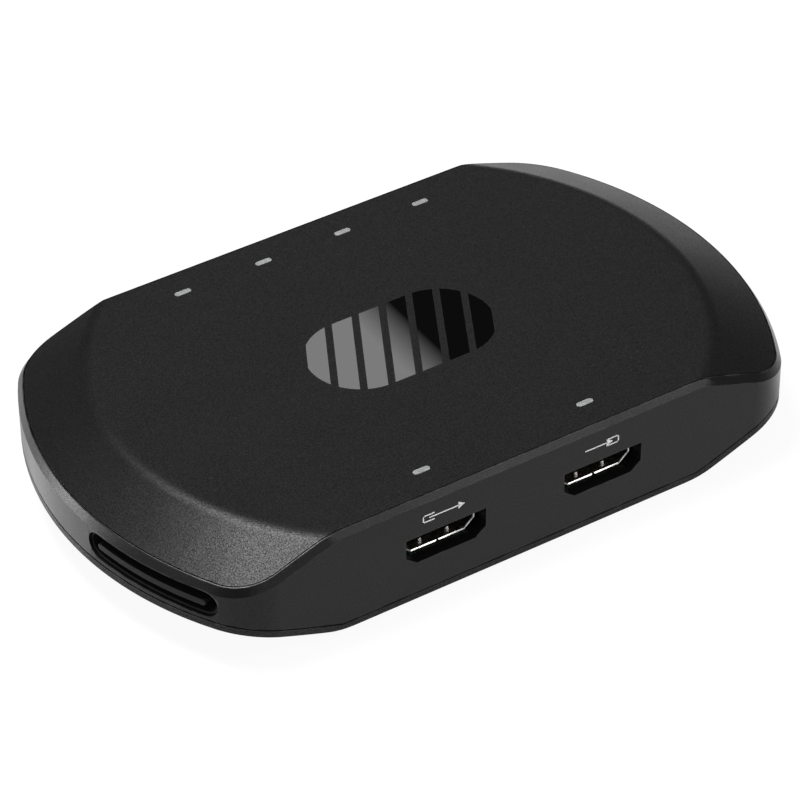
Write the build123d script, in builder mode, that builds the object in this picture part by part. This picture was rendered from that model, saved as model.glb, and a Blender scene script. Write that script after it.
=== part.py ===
from math import asin, cos, radians, sin, sqrt, tan
import os

from build123d import *

# Housing: overall sizes, with the video sockets facing -Y and the origin under the middle of the feet
body_length = 130.8
body_width = 76.1
body_height = 20.55
foot_stand = 0.8
end_sweep = 12.396
corner_radius = 10.8
crease_margin = 11.4
crease_sweep = 18.01
crease_blend = 7.0
ramp_reach = 14.0
top_ramp_angle = 26.3
floor_ramp_angle = 28.0
overrun = 6.0

# Walls, rims and seams of the three mouldings
frame_wall = 2.4
lip_width = 1.05
bevel = 0.95
cover_edge = 1.2
cover_thickness = 1.8
cover_seam = 0.15
floor_edge = 1.45
floor_seam = 0.25
skirt_wall = 1.2
skirt_height = 1.6
skirt_fit = 0.15
rib_side_margin = 18.05
rib_end_margin = 32.4
rib_width = 1.2
rib_height = 0.9

# Main board
board_length_share = 0.765
board_side_margin = 3.75
board_thickness = 1.6
board_corner = 9.0
board_notch_fit = 0.2

# Video sockets on the front: wide at the top, drawn in by two slopes at the bottom
video_spacing = 31.2
video_cut_width = 15.6
video_cut_height = 5.4
video_cut_top = 13.2
video_cut_step = 3.8
video_cut_slope_width = 2.1
video_mouth_width = 14.0
video_mouth_height = 4.55
video_mouth_step = 2.9
video_mouth_slope_width = 1.9
video_depth = 11.2
video_sheet = 0.3
video_seam = 0.25
video_wall_gap = 0.2
video_tongue_width = 11.2
video_tongue_thickness = 1.5
video_tongue_reach = 6.8
video_tongue_rise = 0.35
video_contact_pitch = 1.0
video_contact_width = 0.45
video_contact_thickness = 0.12
video_top_contacts = 10
video_under_contacts = 9
video_leaf_width = 1.6
video_leaf_length = 4.6
video_leaf_start = 0.8
video_leaf_drop = 0.5
video_leaf_spacing = 6.2

# Status lamps in the top
lamp_length = 3.2
lamp_width = 1.15
lamp_spacing = 16.25
lamp_side_margin = 6.55
back_lamp_count = 4
front_lamp_spacing = 32.4
lamp_fit = 0.05
pipe_flange = 0.7
pipe_flange_margin = 0.8
lamp_body_length = 1.6
lamp_body_width = 0.8
lamp_body_height = 0.6
lamp_gap = 0.05

# Sockets on the back: power, small data, data and network, from the left end to the right end
power_place_share = 0.373
small_place_share = 0.16
data_place_share = 0.1
network_place_share = 0.4
back_recess = 0.9
cut_fit = 0.3
power_body_width = 9.2
power_body_height = 7.9
power_body_depth = 11.2
power_axis_rise = 4.0
power_nose = 7.4
power_bore = 6.3
power_bore_depth = 9.8
power_pin = 2.0
power_pin_edge = 0.5
power_leaf_width = 2.2
power_leaf_thickness = 0.25
power_leaf_length = 5.5
small_width = 8.94
small_height = 3.16
small_depth = 7.6
small_sheet = 0.3
small_tongue_width = 6.7
small_tongue_thickness = 0.7
small_tongue_reach = 4.4
small_contact_pitch = 0.5
small_contact_width = 0.25
small_contact_thickness = 0.08
small_contact_length = 3.4
small_contact_count = 12
data_width = 13.15
data_height = 5.72
data_depth = 13.8
data_sheet = 0.3
data_corner = 0.5
data_tongue_width = 11.1
data_tongue_thickness = 1.85
data_tongue_reach = 8.8
data_tongue_rise = 0.75
data_contact_pitch = 2.35
data_contact_width = 1.0
data_contact_thickness = 0.12
data_contact_length = 7.2
data_contact_count = 4
network_width = 15.9
network_height = 11.4
network_depth = 15.6
network_sink = 3.6
network_sheet = 0.3
network_mouth_width = 11.8
network_mouth_height = 6.9
network_mouth_depth = 11.4
network_mouth_rise = 2.9
network_key_width = 6.2
network_key_height = 1.5
network_contact_pitch = 1.02
network_contact_width = 0.4
network_contact_thickness = 0.3
network_contact_start = 2.0
network_contact_length = 7.0
network_contact_slant = 1.9
network_contact_count = 8
network_tab_width = 1.4
network_tab_length = 4.0
network_tab_thickness = 0.4

# Push button on the back, near the left end
button_place_share = 0.589
button_rise = 3.4
button_diameter = 4.2
button_fit = 0.1
button_proud = 0.5
button_travel = 0.7
button_flange = 1.2
button_flange_thickness = 0.8
button_flange_gap = 0.1
button_edge = 0.35
plunger_width = 2.2
plunger_height = 1.2
plunger_length = 1.7
plunger_fit = 0.08
switch_width = 6.2
switch_height = 5.4
switch_depth = 4.2
switch_gap = 0.1

# Vent slots, one in the front half of each end, with a single rib along the middle
vent_place_share = 0.5415
vent_length_share = 0.3653
vent_height = 5.2
vent_rise = 11.1
vent_fit = 0.05
vent_recess = 0.55
vent_border = 0.5
vent_depth = 5.4
vent_flange = 1.4
vent_flange_rise = 0.2
vent_flange_thickness = 0.8
vent_rib_margin = 2.35
vent_rib_height = 1.15
vent_rib_recess = 0.15
vent_web_width = 1.2
vent_web_depth = 1.6
vent_web_spacing = 8.0
vent_web_count = 3

# Feet
foot_diameter = 9.0
foot_thickness = 1.4
foot_chamfer = 0.3
foot_end_margin = 29.9
foot_side_margin = 9.55
foot_fit = 0.1

# Fasteners
housing_screw_length_share = 0.658
housing_screw_width_share = 0.578
housing_screw_diameter = 2.5
housing_screw_head = 4.6
housing_screw_head_height = 1.4
housing_screw_sink = 0.2
housing_screw_length = 12.0
screw_fit = 0.2
screw_bite = 0.05
screw_relief = 0.8
screw_key = 1.5
screw_key_sides = 6
screw_key_share = 0.6
boss_wall = 1.8
board_screw_length_share = 0.573
board_screw_width_share = 0.447
board_screw_diameter = 2.0
board_screw_head = 3.8
board_screw_head_height = 1.2
board_screw_length = 5.4

# Parts on the main board
processor_side = 17.0
processor_height = 1.5
processor_length_share = 0.092
processor_width_share = 0.079
pad_thickness = 0.5
sink_length = 36.0
sink_side_margin = 23.05
sink_base = 1.6
fin_height = 5.2
fin_thickness = 1.0
fin_count = 8
pin_diameter = 2.6
pin_fit = 0.1
pin_head = 4.4
pin_head_height = 0.8
pin_barb = 3.6
pin_barb_height = 1.0
pin_barb_taper = 30
pin_inset = 3.2
pin_clear = 0.6
memory_length = 14.0
memory_width = 9.0
memory_height = 1.1
memory_length_share = 0.431
memory_clear = 2.0
memory_gap = 3.0
storage_length = 13.0
storage_width = 11.5
storage_height = 1.0
storage_length_share = 0.489
storage_width_share = 0.079
video_chip_side = 9.0
video_chip_height = 0.9
video_chip_clear = 2.25
transformer_length = 15.0
transformer_width = 7.0
transformer_height = 5.6
transformer_clear = 2.05
coil_side = 6.6
coil_height = 3.6
coil_round = 1.2
coil_gap = 1.8
coil_length_share = 0.688
capacitor_diameter = 6.3
capacitor_height = 7.2
capacitor_gap = 1.7
capacitor_length_share = 0.642
capacitor_groove = 0.25
capacitor_groove_rise = 1.4
capacitor_groove_width = 0.6
crystal_length = 5.0
crystal_width = 3.2
crystal_height = 0.9
crystal_round = 0.8

# Boards that carry the status lamps, hung on posts of the top cover
lamp_board_width = 5.0
lamp_board_margin = 5.0
lamp_board_thickness = 0.8
lamp_post = 3.0
lamp_screw_diameter = 1.6
lamp_screw_head = 2.8
lamp_screw_head_height = 0.6
lamp_screw_length = 2.2
header_length = 4.0
header_width = 2.4

# Generic slanted stripes inlaid in the middle of the top
inlay_length = 35.2
inlay_width = 19.4
inlay_depth = 0.5
inlay_fit = 0.03
inlay_slant = 28.0
inlay_stripe = 3.5
inlay_gap = 1.3
inlay_count = 7

# Levels and places that follow from the sizes above
floor_level = foot_stand
top_level = floor_level + body_height
half_length = body_length / 2
half_width = body_width / 2
end_radius = (end_sweep**2 + half_width**2) / (2 * end_sweep)
end_centre = half_length - end_radius
crease_radius = (crease_sweep**2 + half_width**2) / (2 * crease_sweep)
crease_centre = half_length - crease_margin - crease_radius
cover_inset = lip_width + cover_seam
skirt_inset = frame_wall + skirt_fit
inner_top = top_level - cover_thickness
inner_floor = floor_level + floor_edge
video_centre = floor_level + video_cut_top - video_cut_height / 2
video_shell_height = video_mouth_height + 2 * video_sheet
video_front = half_width - frame_wall - video_wall_gap
board_top = video_centre - video_shell_height / 2
board_floor = board_top - board_thickness
back_front = half_width - back_recess
power_x = -power_place_share * half_length
small_x = -small_place_share * half_length
data_x = data_place_share * half_length
network_x = network_place_share * half_length
button_x = -button_place_share * half_length
power_level = board_top + power_axis_rise
small_level = board_top + small_height / 2
data_level = board_top + data_height / 2
network_floor = board_top - network_sink
network_level = network_floor + network_height / 2
lamp_row = half_width - lamp_side_margin
lamp_base = inner_top - pipe_flange
lamp_board_top = lamp_base - lamp_gap - lamp_body_height
lamp_board_floor = lamp_board_top - lamp_board_thickness
button_level = board_top + button_rise
vent_level = floor_level + vent_rise
vent_turn = asin(vent_place_share * half_width / end_radius)
vent_length = vent_length_share * body_width
rib_row = half_width - rib_side_margin
rib_length = body_length - 2 * rib_end_margin
board_length = board_length_share * body_length
board_width = body_width - 2 * board_side_margin
head_seat = floor_level + housing_screw_sink + housing_screw_head_height
processor_x = -processor_length_share * half_length
processor_y = processor_width_share * half_width
sink_width = body_width - 2 * sink_side_margin
sink_floor = board_top + processor_height + pad_thickness
sink_top = sink_floor + sink_base
video_chip_y = video_depth + video_chip_clear + video_chip_side / 2 - video_front
transformer_y = back_front - network_depth - transformer_clear - transformer_width / 2
memory_y = transformer_y - transformer_width / 2 - memory_clear - memory_width - memory_gap / 2
header_x = (small_x + small_width / 2 + data_x - data_width / 2) / 2
header_row = lamp_row - lamp_board_width / 2 + header_length / 2

ends = (-1, 1)
corners = [(x * half_length, y * half_width) for x in ends for y in ends]
screw_places = [(x * housing_screw_length_share, y * housing_screw_width_share) for x, y in corners]
board_screw_places = [(x * board_screw_length_share, y * board_screw_width_share) for x, y in corners]
pin_places = [
    (processor_x + turn * (sink_length / 2 - pin_inset), processor_y + turn * (sink_width / 2 - pin_inset))
    for turn in ends
]
lamp_span = (back_lamp_count - 1) * lamp_spacing
back_lamp_places = [(count * lamp_spacing - lamp_span / 2, lamp_row) for count in range(back_lamp_count)]
front_lamp_places = [(step * front_lamp_spacing / 2, -lamp_row) for step in ends]
back_post_places = [(step * lamp_spacing, lamp_row) for step in ends]
front_post_places = [(step * front_lamp_spacing / 4, -lamp_row) for step in ends]
foot_x = half_length - foot_end_margin
foot_y = half_width - foot_side_margin
foot_places = {
    "front_left": (-foot_x, -foot_y),
    "front_right": (foot_x, -foot_y),
    "back_left": (-foot_x, foot_y),
    "back_right": (foot_x, foot_y),
}

os.makedirs("parts", exist_ok=True)


def prism(inset):
    """Upright column on the plan outline moved in by an inset: two straight sides and two round ends."""
    side = half_width - inset
    reach = end_centre + sqrt((end_radius - inset) ** 2 - side**2)
    tip = half_length - inset
    with BuildPart() as column:
        with BuildSketch(Plane.XY.offset(floor_level - overrun)) as plan:
            with BuildLine():
                right = ThreePointArc((reach, -side), (tip, 0), (reach, side))
                left = ThreePointArc((-reach, side), (-tip, 0), (-reach, -side))
                Line(right @ 1, left @ 0)
                Line(left @ 1, right @ 0)
            make_face()
            fillet(plan.vertices(), corner_radius - inset)
        extrude(amount=body_height + 2 * overrun)
    return column.part


def slab(top_depth, floor_depth, sharp_top=False):
    """Space between the top surface and the underside, each moved in by its own depth.

    Both surfaces are flat in the middle and fall away as cones beyond a curved crease near each end. The
    crease is soft on an outer surface, which has no depth.
    """
    top = top_level - top_depth
    floor = floor_level + floor_depth
    reach = crease_radius + ramp_reach
    top_slope = radians(top_ramp_angle)
    floor_slope = radians(floor_ramp_angle)
    top_crease = crease_radius - top_depth * tan(top_slope / 2)
    floor_crease = crease_radius - floor_depth * tan(floor_slope / 2)
    section = Plane(origin=(crease_centre, 0, 0), x_dir=(0, -1, 0), z_dir=(-1, 0, 0))
    with BuildPart() as end:
        with BuildSketch(section):
            with BuildLine():
                Polyline(
                    (0, floor),
                    (floor_crease, floor),
                    (reach, floor + (reach - floor_crease) * tan(floor_slope)),
                    (reach, top - (reach - top_crease) * tan(top_slope)),
                    (top_crease, top),
                    (0, top),
                    close=True,
                )
            make_face()
        revolve(axis=Axis((crease_centre, 0, 0), (0, 0, 1)), revolution_arc=180)
        if floor_depth == 0:
            fillet(end.edges().filter_by(GeomType.CIRCLE).sort_by(Axis.Z)[0], crease_blend)
        if top_depth == 0 and not sharp_top:
            fillet(end.edges().filter_by(GeomType.CIRCLE).sort_by(Axis.Z)[-1], crease_blend)
    with BuildPart() as space:
        add(end.part)
        mirror(end.part, about=Plane.YZ)
        with BuildSketch(Plane.XY.offset(floor)):
            Rectangle(2 * abs(crease_centre), body_width + overrun)
        extrude(amount=top - floor)
    return space.part


def form(inset, top_depth, floor_depth):
    """Housing form with its outline, its top and its underside moved in."""
    with BuildPart() as block:
        add(prism(inset))
        add(slab(top_depth, floor_depth), mode=Mode.INTERSECT)
    return block.part


def layer(inset, top_depth, bottom_depth):
    """Sheet inside an outline, between the top surface moved down by two depths."""
    with BuildPart() as sheet:
        add(form(inset, top_depth, -overrun / 2))
        add(slab(bottom_depth, -overrun), mode=Mode.SUBTRACT)
    return sheet.part


def floor_layer(inset, floor_depth, upper_depth):
    """Sheet inside an outline, between the underside moved up by two depths."""
    with BuildPart() as sheet:
        add(form(inset, -overrun / 2, floor_depth))
        add(slab(-overrun, upper_depth), mode=Mode.SUBTRACT)
    return sheet.part


def front_plane(x, y, level):
    """Upright plane that faces out of the front, at a distance y in front of the middle."""
    return Plane(origin=(x, -y, level), x_dir=(1, 0, 0), z_dir=(0, -1, 0))


def back_plane(x, y, level):
    """Upright plane that faces out of the back, at a distance y behind the middle."""
    return Plane(origin=(x, y, level), x_dir=(-1, 0, 0), z_dir=(0, 1, 0))


def vent_plane(side):
    """Upright plane on the end wall at its vent, facing out; side is -1 for the left end, 1 for the right."""
    normal = (side * cos(vent_turn), -sin(vent_turn), 0)
    origin = (side * (end_centre + end_radius * cos(vent_turn)), -end_radius * sin(vent_turn), vent_level)
    return Plane(origin=origin, x_dir=(-normal[1], normal[0], 0), z_dir=normal)


def vent_block(side, length, height, outer_inset, inner_inset):
    """Round-ended bar through an end wall, whose two faces follow the curve of the wall."""
    with BuildPart() as bar:
        with BuildSketch(vent_plane(side)):
            SlotOverall(length, height)
        extrude(amount=2 * overrun, both=True)
        add(prism(outer_inset), mode=Mode.INTERSECT)
        add(prism(inner_inset), mode=Mode.SUBTRACT)
    return bar.part


def skirt(sheet):
    """Locating skirt inside the frame, cut from a sheet and opened for both vent ducts."""
    with BuildPart() as band:
        add(sheet)
        add(prism(skirt_inset + skirt_wall), mode=Mode.SUBTRACT)
        for side in ends:
            with BuildSketch(vent_plane(side)):
                Rectangle(vent_length + 2 * vent_flange + 2 * cut_fit, body_height)
            extrude(amount=-2 * overrun, mode=Mode.SUBTRACT)
    return band.part


def socket_profile(width, height, step, slope_width):
    """Draws the video socket's outline in the sketch at work, centred on its height."""
    Polygon(
        (-width / 2, height / 2),
        (width / 2, height / 2),
        (width / 2, height / 2 - step),
        (width / 2 - slope_width, -height / 2),
        (slope_width - width / 2, -height / 2),
        (-width / 2, height / 2 - step),
        align=None,
    )


# Side frame: a band with upright walls, bevelled along the top and opened for sockets, button and vents
core = prism(lip_width / 2).solid()
rim_level = vent_level + vent_height / 2
with BuildPart() as side_frame:
    add(prism(0))
    add(slab(0, floor_edge, sharp_top=True), mode=Mode.INTERSECT)
    upper = [edge for edge in side_frame.edges() if (edge @ 0.5).Z > rim_level]
    chamfer([edge for edge in upper if not core.is_inside(edge @ 0.5)], bevel)
    fillet(side_frame.edges().filter_by(GeomType.CIRCLE).group_by(Axis.Z)[-1], crease_blend)
    add(layer(lip_width, -overrun / 2, cover_edge), mode=Mode.SUBTRACT)
    add(prism(frame_wall), mode=Mode.SUBTRACT)
    for centre in (-video_spacing / 2, video_spacing / 2):
        with BuildSketch(front_plane(centre, half_width, video_centre)):
            socket_profile(video_cut_width, video_cut_height, video_cut_step, video_cut_slope_width)
        extrude(amount=-frame_wall - overrun, mode=Mode.SUBTRACT)
    with BuildSketch(back_plane(network_x, half_width, network_level)):
        Rectangle(network_width + 2 * cut_fit, network_height + 2 * cut_fit)
    extrude(amount=-frame_wall - overrun, mode=Mode.SUBTRACT)
    with BuildSketch(back_plane(data_x, half_width, data_level)):
        RectangleRounded(data_width + 2 * cut_fit, data_height + 2 * cut_fit, data_corner + cut_fit)
    extrude(amount=-frame_wall - overrun, mode=Mode.SUBTRACT)
    with BuildSketch(back_plane(small_x, half_width, small_level)):
        SlotOverall(small_width + 2 * cut_fit, small_height + 2 * cut_fit)
    extrude(amount=-frame_wall - overrun, mode=Mode.SUBTRACT)
    with BuildSketch(back_plane(power_x, half_width, power_level)):
        Circle(power_nose / 2 + cut_fit)
    extrude(amount=-frame_wall - overrun, mode=Mode.SUBTRACT)
    with BuildSketch(back_plane(button_x, half_width, button_level)):
        Circle(button_diameter / 2 + button_fit)
    extrude(amount=-frame_wall - overrun, mode=Mode.SUBTRACT)
    for side in ends:
        slot = vent_block(side, vent_length, vent_height, -overrun / 2, frame_wall + overrun)
        add(slot, mode=Mode.SUBTRACT)
side_frame.part.label = "side_frame"
export_step(side_frame.part, "parts/side_frame.step")


def stripes(fit):
    """Slanted stripes inside a round-ended outline, each wider by a fit on every side."""
    pitch = (inlay_stripe + inlay_gap) / cos(radians(inlay_slant))
    with BuildSketch(Plane.XY.offset(top_level - inlay_depth)) as pattern:
        for count in range(inlay_count):
            with Locations(((count - (inlay_count - 1) / 2) * pitch, 0)):
                Rectangle(inlay_stripe + 2 * fit, 2 * inlay_length, rotation=-inlay_slant)
        SlotOverall(inlay_length + 2 * fit, inlay_width + 2 * fit, mode=Mode.INTERSECT)
    return pattern.sketch


# Top cover: a thin moulding inside the frame's lip, resting on its ledge, with screw bosses, lamp posts and
# reliefs above the vent ducts
relief_length = vent_length + 2 * (vent_flange + cut_fit)
relief_height = vent_height + 2 * (vent_flange_rise + cut_fit)
with BuildPart() as top_cover:
    add(layer(cover_inset, 0, cover_edge))
    add(layer(skirt_inset, cover_edge / 2, cover_thickness))
    add(skirt(layer(skirt_inset, cover_edge / 2, cover_thickness + skirt_height)))
    with BuildSketch(Plane.XY.offset(inner_top)):
        for row in (-rib_row, 0, rib_row):
            with Locations((0, row)):
                Rectangle(rib_length, rib_width)
        for place in (-rib_length / 2, 0, rib_length / 2):
            with Locations((place, 0)):
                Rectangle(rib_width, 2 * rib_row + rib_width)
    extrude(amount=-rib_height)
    with BuildSketch(Plane.XY.offset(board_top)):
        with Locations(screw_places):
            Circle(housing_screw_diameter / 2 + boss_wall)
    extrude(amount=inner_top - board_top + cover_edge / 2)
    with BuildSketch(Plane.XY.offset(board_top)):
        with Locations(screw_places):
            Circle(housing_screw_diameter / 2 + screw_bite)
    extrude(amount=head_seat + housing_screw_length + screw_relief - board_top, mode=Mode.SUBTRACT)
    with BuildSketch(Plane.XY.offset(lamp_board_top)):
        with Locations(back_post_places + front_post_places):
            Circle(lamp_post / 2)
    extrude(amount=inner_top - lamp_board_top + cover_edge / 2)
    with BuildSketch(Plane.XY.offset(lamp_board_top)):
        with Locations(back_post_places + front_post_places):
            Circle(lamp_screw_diameter / 2 + screw_bite)
    extrude(amount=lamp_screw_length - lamp_board_thickness + screw_bite, mode=Mode.SUBTRACT)
    with BuildSketch(Plane.XY.offset(inner_top - overrun)):
        with Locations(back_lamp_places + front_lamp_places):
            SlotOverall(lamp_length + 2 * lamp_fit, lamp_width + 2 * lamp_fit)
    extrude(amount=2 * overrun, mode=Mode.SUBTRACT)
    add(stripes(inlay_fit))
    extrude(amount=overrun, mode=Mode.SUBTRACT)
    for side in ends:
        relief = vent_block(side, relief_length, relief_height, frame_wall, vent_depth + cut_fit)
        add(relief, mode=Mode.SUBTRACT)
top_cover.part.label = "top_cover"
export_step(top_cover.part, "parts/top_cover.step")

# Generic stripes of gloss plastic, flush in their pockets
with BuildPart() as top_inlay:
    add(stripes(0))
    extrude(amount=inlay_depth)
top_inlay.part.label = "top_inlay"
export_step(top_inlay.part, "parts/top_inlay.step")

# Light pipes: round-ended windows flush with the top, each on a flange under the cover
for name, places in (("back_light_pipes", back_lamp_places), ("front_light_pipes", front_lamp_places)):
    with BuildPart() as light_pipes:
        with BuildSketch(Plane.XY.offset(lamp_base)):
            with Locations(places):
                Rectangle(lamp_length + 2 * pipe_flange_margin, lamp_width + 2 * pipe_flange_margin)
        extrude(amount=pipe_flange)
        with BuildSketch(Plane.XY.offset(lamp_base)):
            with Locations(places):
                SlotOverall(lamp_length, lamp_width)
        extrude(amount=top_level - lamp_base)
    light_pipes.part.label = name
    export_step(light_pipes.part, f"parts/{name}.step")

# Bottom cover: the top's form turned over, flush with the frame, with a seam groove, bosses and foot wells
with BuildPart() as seam_groove:
    add(form(-overrun / 2, -overrun / 2, floor_edge - floor_seam))
    add(prism(floor_seam), mode=Mode.SUBTRACT)
with BuildPart() as bottom_cover:
    add(floor_layer(0, 0, floor_edge))
    add(seam_groove.part, mode=Mode.SUBTRACT)
    add(skirt(floor_layer(skirt_inset, floor_edge / 2, floor_edge + skirt_height)))
    with BuildSketch(Plane.XY.offset(inner_floor)):
        for row in (-rib_row / 2, rib_row / 2):
            with Locations((0, row)):
                Rectangle(rib_length, rib_width)
    extrude(amount=rib_height)
    with BuildSketch(Plane.XY.offset(inner_floor - floor_edge / 2)):
        with Locations(screw_places):
            Circle(housing_screw_diameter / 2 + boss_wall)
        with Locations(board_screw_places):
            Circle(board_screw_diameter / 2 + boss_wall)
    extrude(amount=board_floor - inner_floor + floor_edge / 2)
    with BuildSketch(Plane.XY.offset(floor_level - overrun)):
        with Locations(screw_places):
            Circle(housing_screw_diameter / 2 + screw_fit)
    extrude(amount=board_floor + overrun, mode=Mode.SUBTRACT)
    with BuildSketch(Plane.XY.offset(floor_level - overrun)):
        with Locations(screw_places):
            Circle(housing_screw_head / 2 + screw_fit)
    extrude(amount=head_seat - floor_level + overrun, mode=Mode.SUBTRACT)
    with BuildSketch(Plane.XY.offset(board_floor)):
        with Locations(board_screw_places):
            Circle(board_screw_diameter / 2 + screw_bite)
    extrude(amount=board_thickness - board_screw_length - screw_bite, mode=Mode.SUBTRACT)
    with BuildSketch(Plane.XY.offset(floor_level - overrun)):
        with Locations(list(foot_places.values())):
            Circle(foot_diameter / 2 + foot_fit)
    extrude(amount=foot_thickness - foot_stand + overrun, mode=Mode.SUBTRACT)
bottom_cover.part.label = "bottom_cover"
export_step(bottom_cover.part, "parts/bottom_cover.step")

# Rubber feet in their wells
for name, place in foot_places.items():
    with BuildPart() as foot:
        with BuildSketch():
            with Locations(place):
                Circle(foot_diameter / 2)
        extrude(amount=foot_thickness)
        chamfer(foot.edges().group_by(Axis.Z)[0], foot_chamfer)
    foot.part.label = f"foot_{name}"
    export_step(foot.part, f"parts/foot_{name}.step")

# Housing screws, from the underside through the main board into the top cover's bosses
with BuildPart() as housing_screws:
    with BuildSketch(Plane.XY.offset(head_seat)):
        with Locations(screw_places):
            Circle(housing_screw_head / 2)
    extrude(amount=-housing_screw_head_height)
    with BuildSketch(Plane.XY.offset(head_seat)):
        with Locations(screw_places):
            Circle(housing_screw_diameter / 2)
    extrude(amount=housing_screw_length)
    with BuildSketch(Plane.XY.offset(floor_level + housing_screw_sink)):
        with Locations(screw_places):
            RegularPolygon(screw_key / 2, screw_key_sides, major_radius=False)
    extrude(amount=screw_key_share * housing_screw_head_height, mode=Mode.SUBTRACT)
housing_screws.part.label = "housing_screws"
export_step(housing_screws.part, "parts/housing_screws.step")

# Main board, notched for the network socket and drilled for screws and push pins
with BuildPart() as main_board:
    with BuildSketch(Plane.XY.offset(board_floor)) as plan:
        Rectangle(board_length, board_width)
        chamfer(plan.vertices(), board_corner)
        with Locations((network_x, back_front - network_depth - board_notch_fit)):
            Rectangle(
                network_width + 2 * board_notch_fit,
                2 * network_depth,
                align=(Align.CENTER, Align.MIN),
                mode=Mode.SUBTRACT,
            )
        with Locations(screw_places):
            Circle(housing_screw_diameter / 2 + screw_fit, mode=Mode.SUBTRACT)
        with Locations(board_screw_places):
            Circle(board_screw_diameter / 2 + screw_fit, mode=Mode.SUBTRACT)
        with Locations(pin_places):
            Circle(pin_diameter / 2 + pin_fit, mode=Mode.SUBTRACT)
    extrude(amount=board_thickness)
main_board.part.label = "main_board"
export_step(main_board.part, "parts/main_board.step")

# Board screws, into the pillars of the bottom cover
with BuildPart() as board_screws:
    with BuildSketch(Plane.XY.offset(board_top)):
        with Locations(board_screw_places):
            Circle(board_screw_head / 2)
    extrude(amount=board_screw_head_height)
    with BuildSketch(Plane.XY.offset(board_top)):
        with Locations(board_screw_places):
            Circle(board_screw_diameter / 2)
    extrude(amount=-board_screw_length)
    with BuildSketch(Plane.XY.offset(board_top + board_screw_head_height)):
        with Locations(board_screw_places):
            RegularPolygon(screw_key / 2, screw_key_sides, major_radius=False)
    extrude(amount=-screw_key_share * board_screw_head_height, mode=Mode.SUBTRACT)
board_screws.part.label = "board_screws"
export_step(board_screws.part, "parts/board_screws.step")

# Video sockets: a metal shell with a seam underneath and two spring leaves, a tongue and two rows of contacts
video_block_depth = video_depth - video_sheet - video_tongue_reach
video_tongue_level = video_centre + video_tongue_rise
for name, centre in (("video_out", -video_spacing / 2), ("video_in", video_spacing / 2)):
    socket_front = front_plane(centre, video_front, video_centre)
    with BuildPart() as video_shell:
        with BuildSketch(socket_front):
            socket_profile(
                video_mouth_width + 2 * video_sheet,
                video_shell_height,
                video_mouth_step + video_sheet,
                video_mouth_slope_width + video_sheet / 2,
            )
        extrude(amount=-video_depth)
        with BuildSketch(socket_front):
            socket_profile(video_mouth_width, video_mouth_height, video_mouth_step, video_mouth_slope_width)
        extrude(amount=video_sheet - video_depth, mode=Mode.SUBTRACT)
        with BuildSketch(socket_front):
            with Locations((0, -video_mouth_height / 2)):
                Rectangle(video_seam, 2 * video_sheet)
        extrude(amount=video_sheet - video_depth, mode=Mode.SUBTRACT)
        for leaf in ends:
            leaf_place = centre + leaf * video_leaf_spacing / 2 - video_leaf_width / 2
            leaf_side = Plane(
                origin=(leaf_place, -video_front, video_centre),
                x_dir=(0, 1, 0),
                z_dir=(1, 0, 0),
            )
            with BuildSketch(leaf_side):
                Polygon(
                    (video_leaf_start, video_mouth_height / 2 - video_leaf_drop),
                    (video_leaf_start + video_sheet, video_mouth_height / 2 - video_leaf_drop),
                    (video_leaf_start + video_leaf_length, video_mouth_height / 2 - video_sheet / 2),
                    (video_leaf_start + video_leaf_length, video_mouth_height / 2 + video_sheet / 2),
                    (video_leaf_start, video_mouth_height / 2 - video_leaf_drop + video_sheet),
                    align=None,
                )
            extrude(amount=video_leaf_width)
    video_shell.part.label = f"{name}_shell"
    export_step(video_shell.part, f"parts/{name}_shell.step")

    with BuildPart() as video_tongue:
        with BuildSketch(socket_front.offset(video_sheet - video_depth)):
            socket_profile(video_mouth_width, video_mouth_height, video_mouth_step, video_mouth_slope_width)
        extrude(amount=video_block_depth)
        with BuildSketch(front_plane(centre, video_front + video_sheet - video_depth, video_tongue_level)):
            Rectangle(video_tongue_width, video_tongue_thickness)
        extrude(amount=video_block_depth + video_tongue_reach - 2 * video_sheet)
    video_tongue.part.label = f"{name}_tongue"
    export_step(video_tongue.part, f"parts/{name}_tongue.step")

    contact_end = video_front - video_depth + video_sheet + video_block_depth
    contact_length = video_tongue_reach - 4 * video_sheet
    with BuildPart() as video_contacts:
        for count, turn in ((video_top_contacts, 1), (video_under_contacts, -1)):
            level = video_tongue_level + turn * video_tongue_thickness / 2
            with BuildSketch(Plane.XY.offset(level)):
                with Locations((centre, -contact_end - contact_length / 2)):
                    with GridLocations(video_contact_pitch, contact_length, count, 1):
                        Rectangle(video_contact_width, contact_length)
            extrude(amount=turn * video_contact_thickness)
    video_contacts.part.label = f"{name}_contacts"
    export_step(video_contacts.part, f"parts/{name}_contacts.step")

# Power jack: a moulded body with a round nose, a centre pin and a spring leaf beside the bore
nose = back_plane(power_x, back_front, power_level)
power_back = half_width - frame_wall - video_wall_gap
with BuildPart() as power_jack_body:
    with BuildSketch(back_plane(power_x, power_back, board_top + power_body_height / 2)):
        Rectangle(power_body_width, power_body_height)
    extrude(amount=-power_body_depth)
    with BuildSketch(nose):
        Circle(power_nose / 2)
    extrude(amount=power_back - back_front - power_body_depth / 2)
    with BuildSketch(nose):
        Circle(power_bore / 2)
    extrude(amount=-power_bore_depth, mode=Mode.SUBTRACT)
power_jack_body.part.label = "power_jack_body"
export_step(power_jack_body.part, "parts/power_jack_body.step")

with BuildPart() as power_jack_pin:
    with BuildSketch(nose.offset(-power_bore_depth)):
        Circle(power_pin / 2)
    extrude(amount=power_bore_depth - power_pin / 2)
    chamfer(power_jack_pin.faces().sort_by(Axis.Y)[-1].edges(), power_pin_edge)
power_jack_pin.part.label = "power_jack_pin"
export_step(power_jack_pin.part, "parts/power_jack_pin.step")

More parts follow.
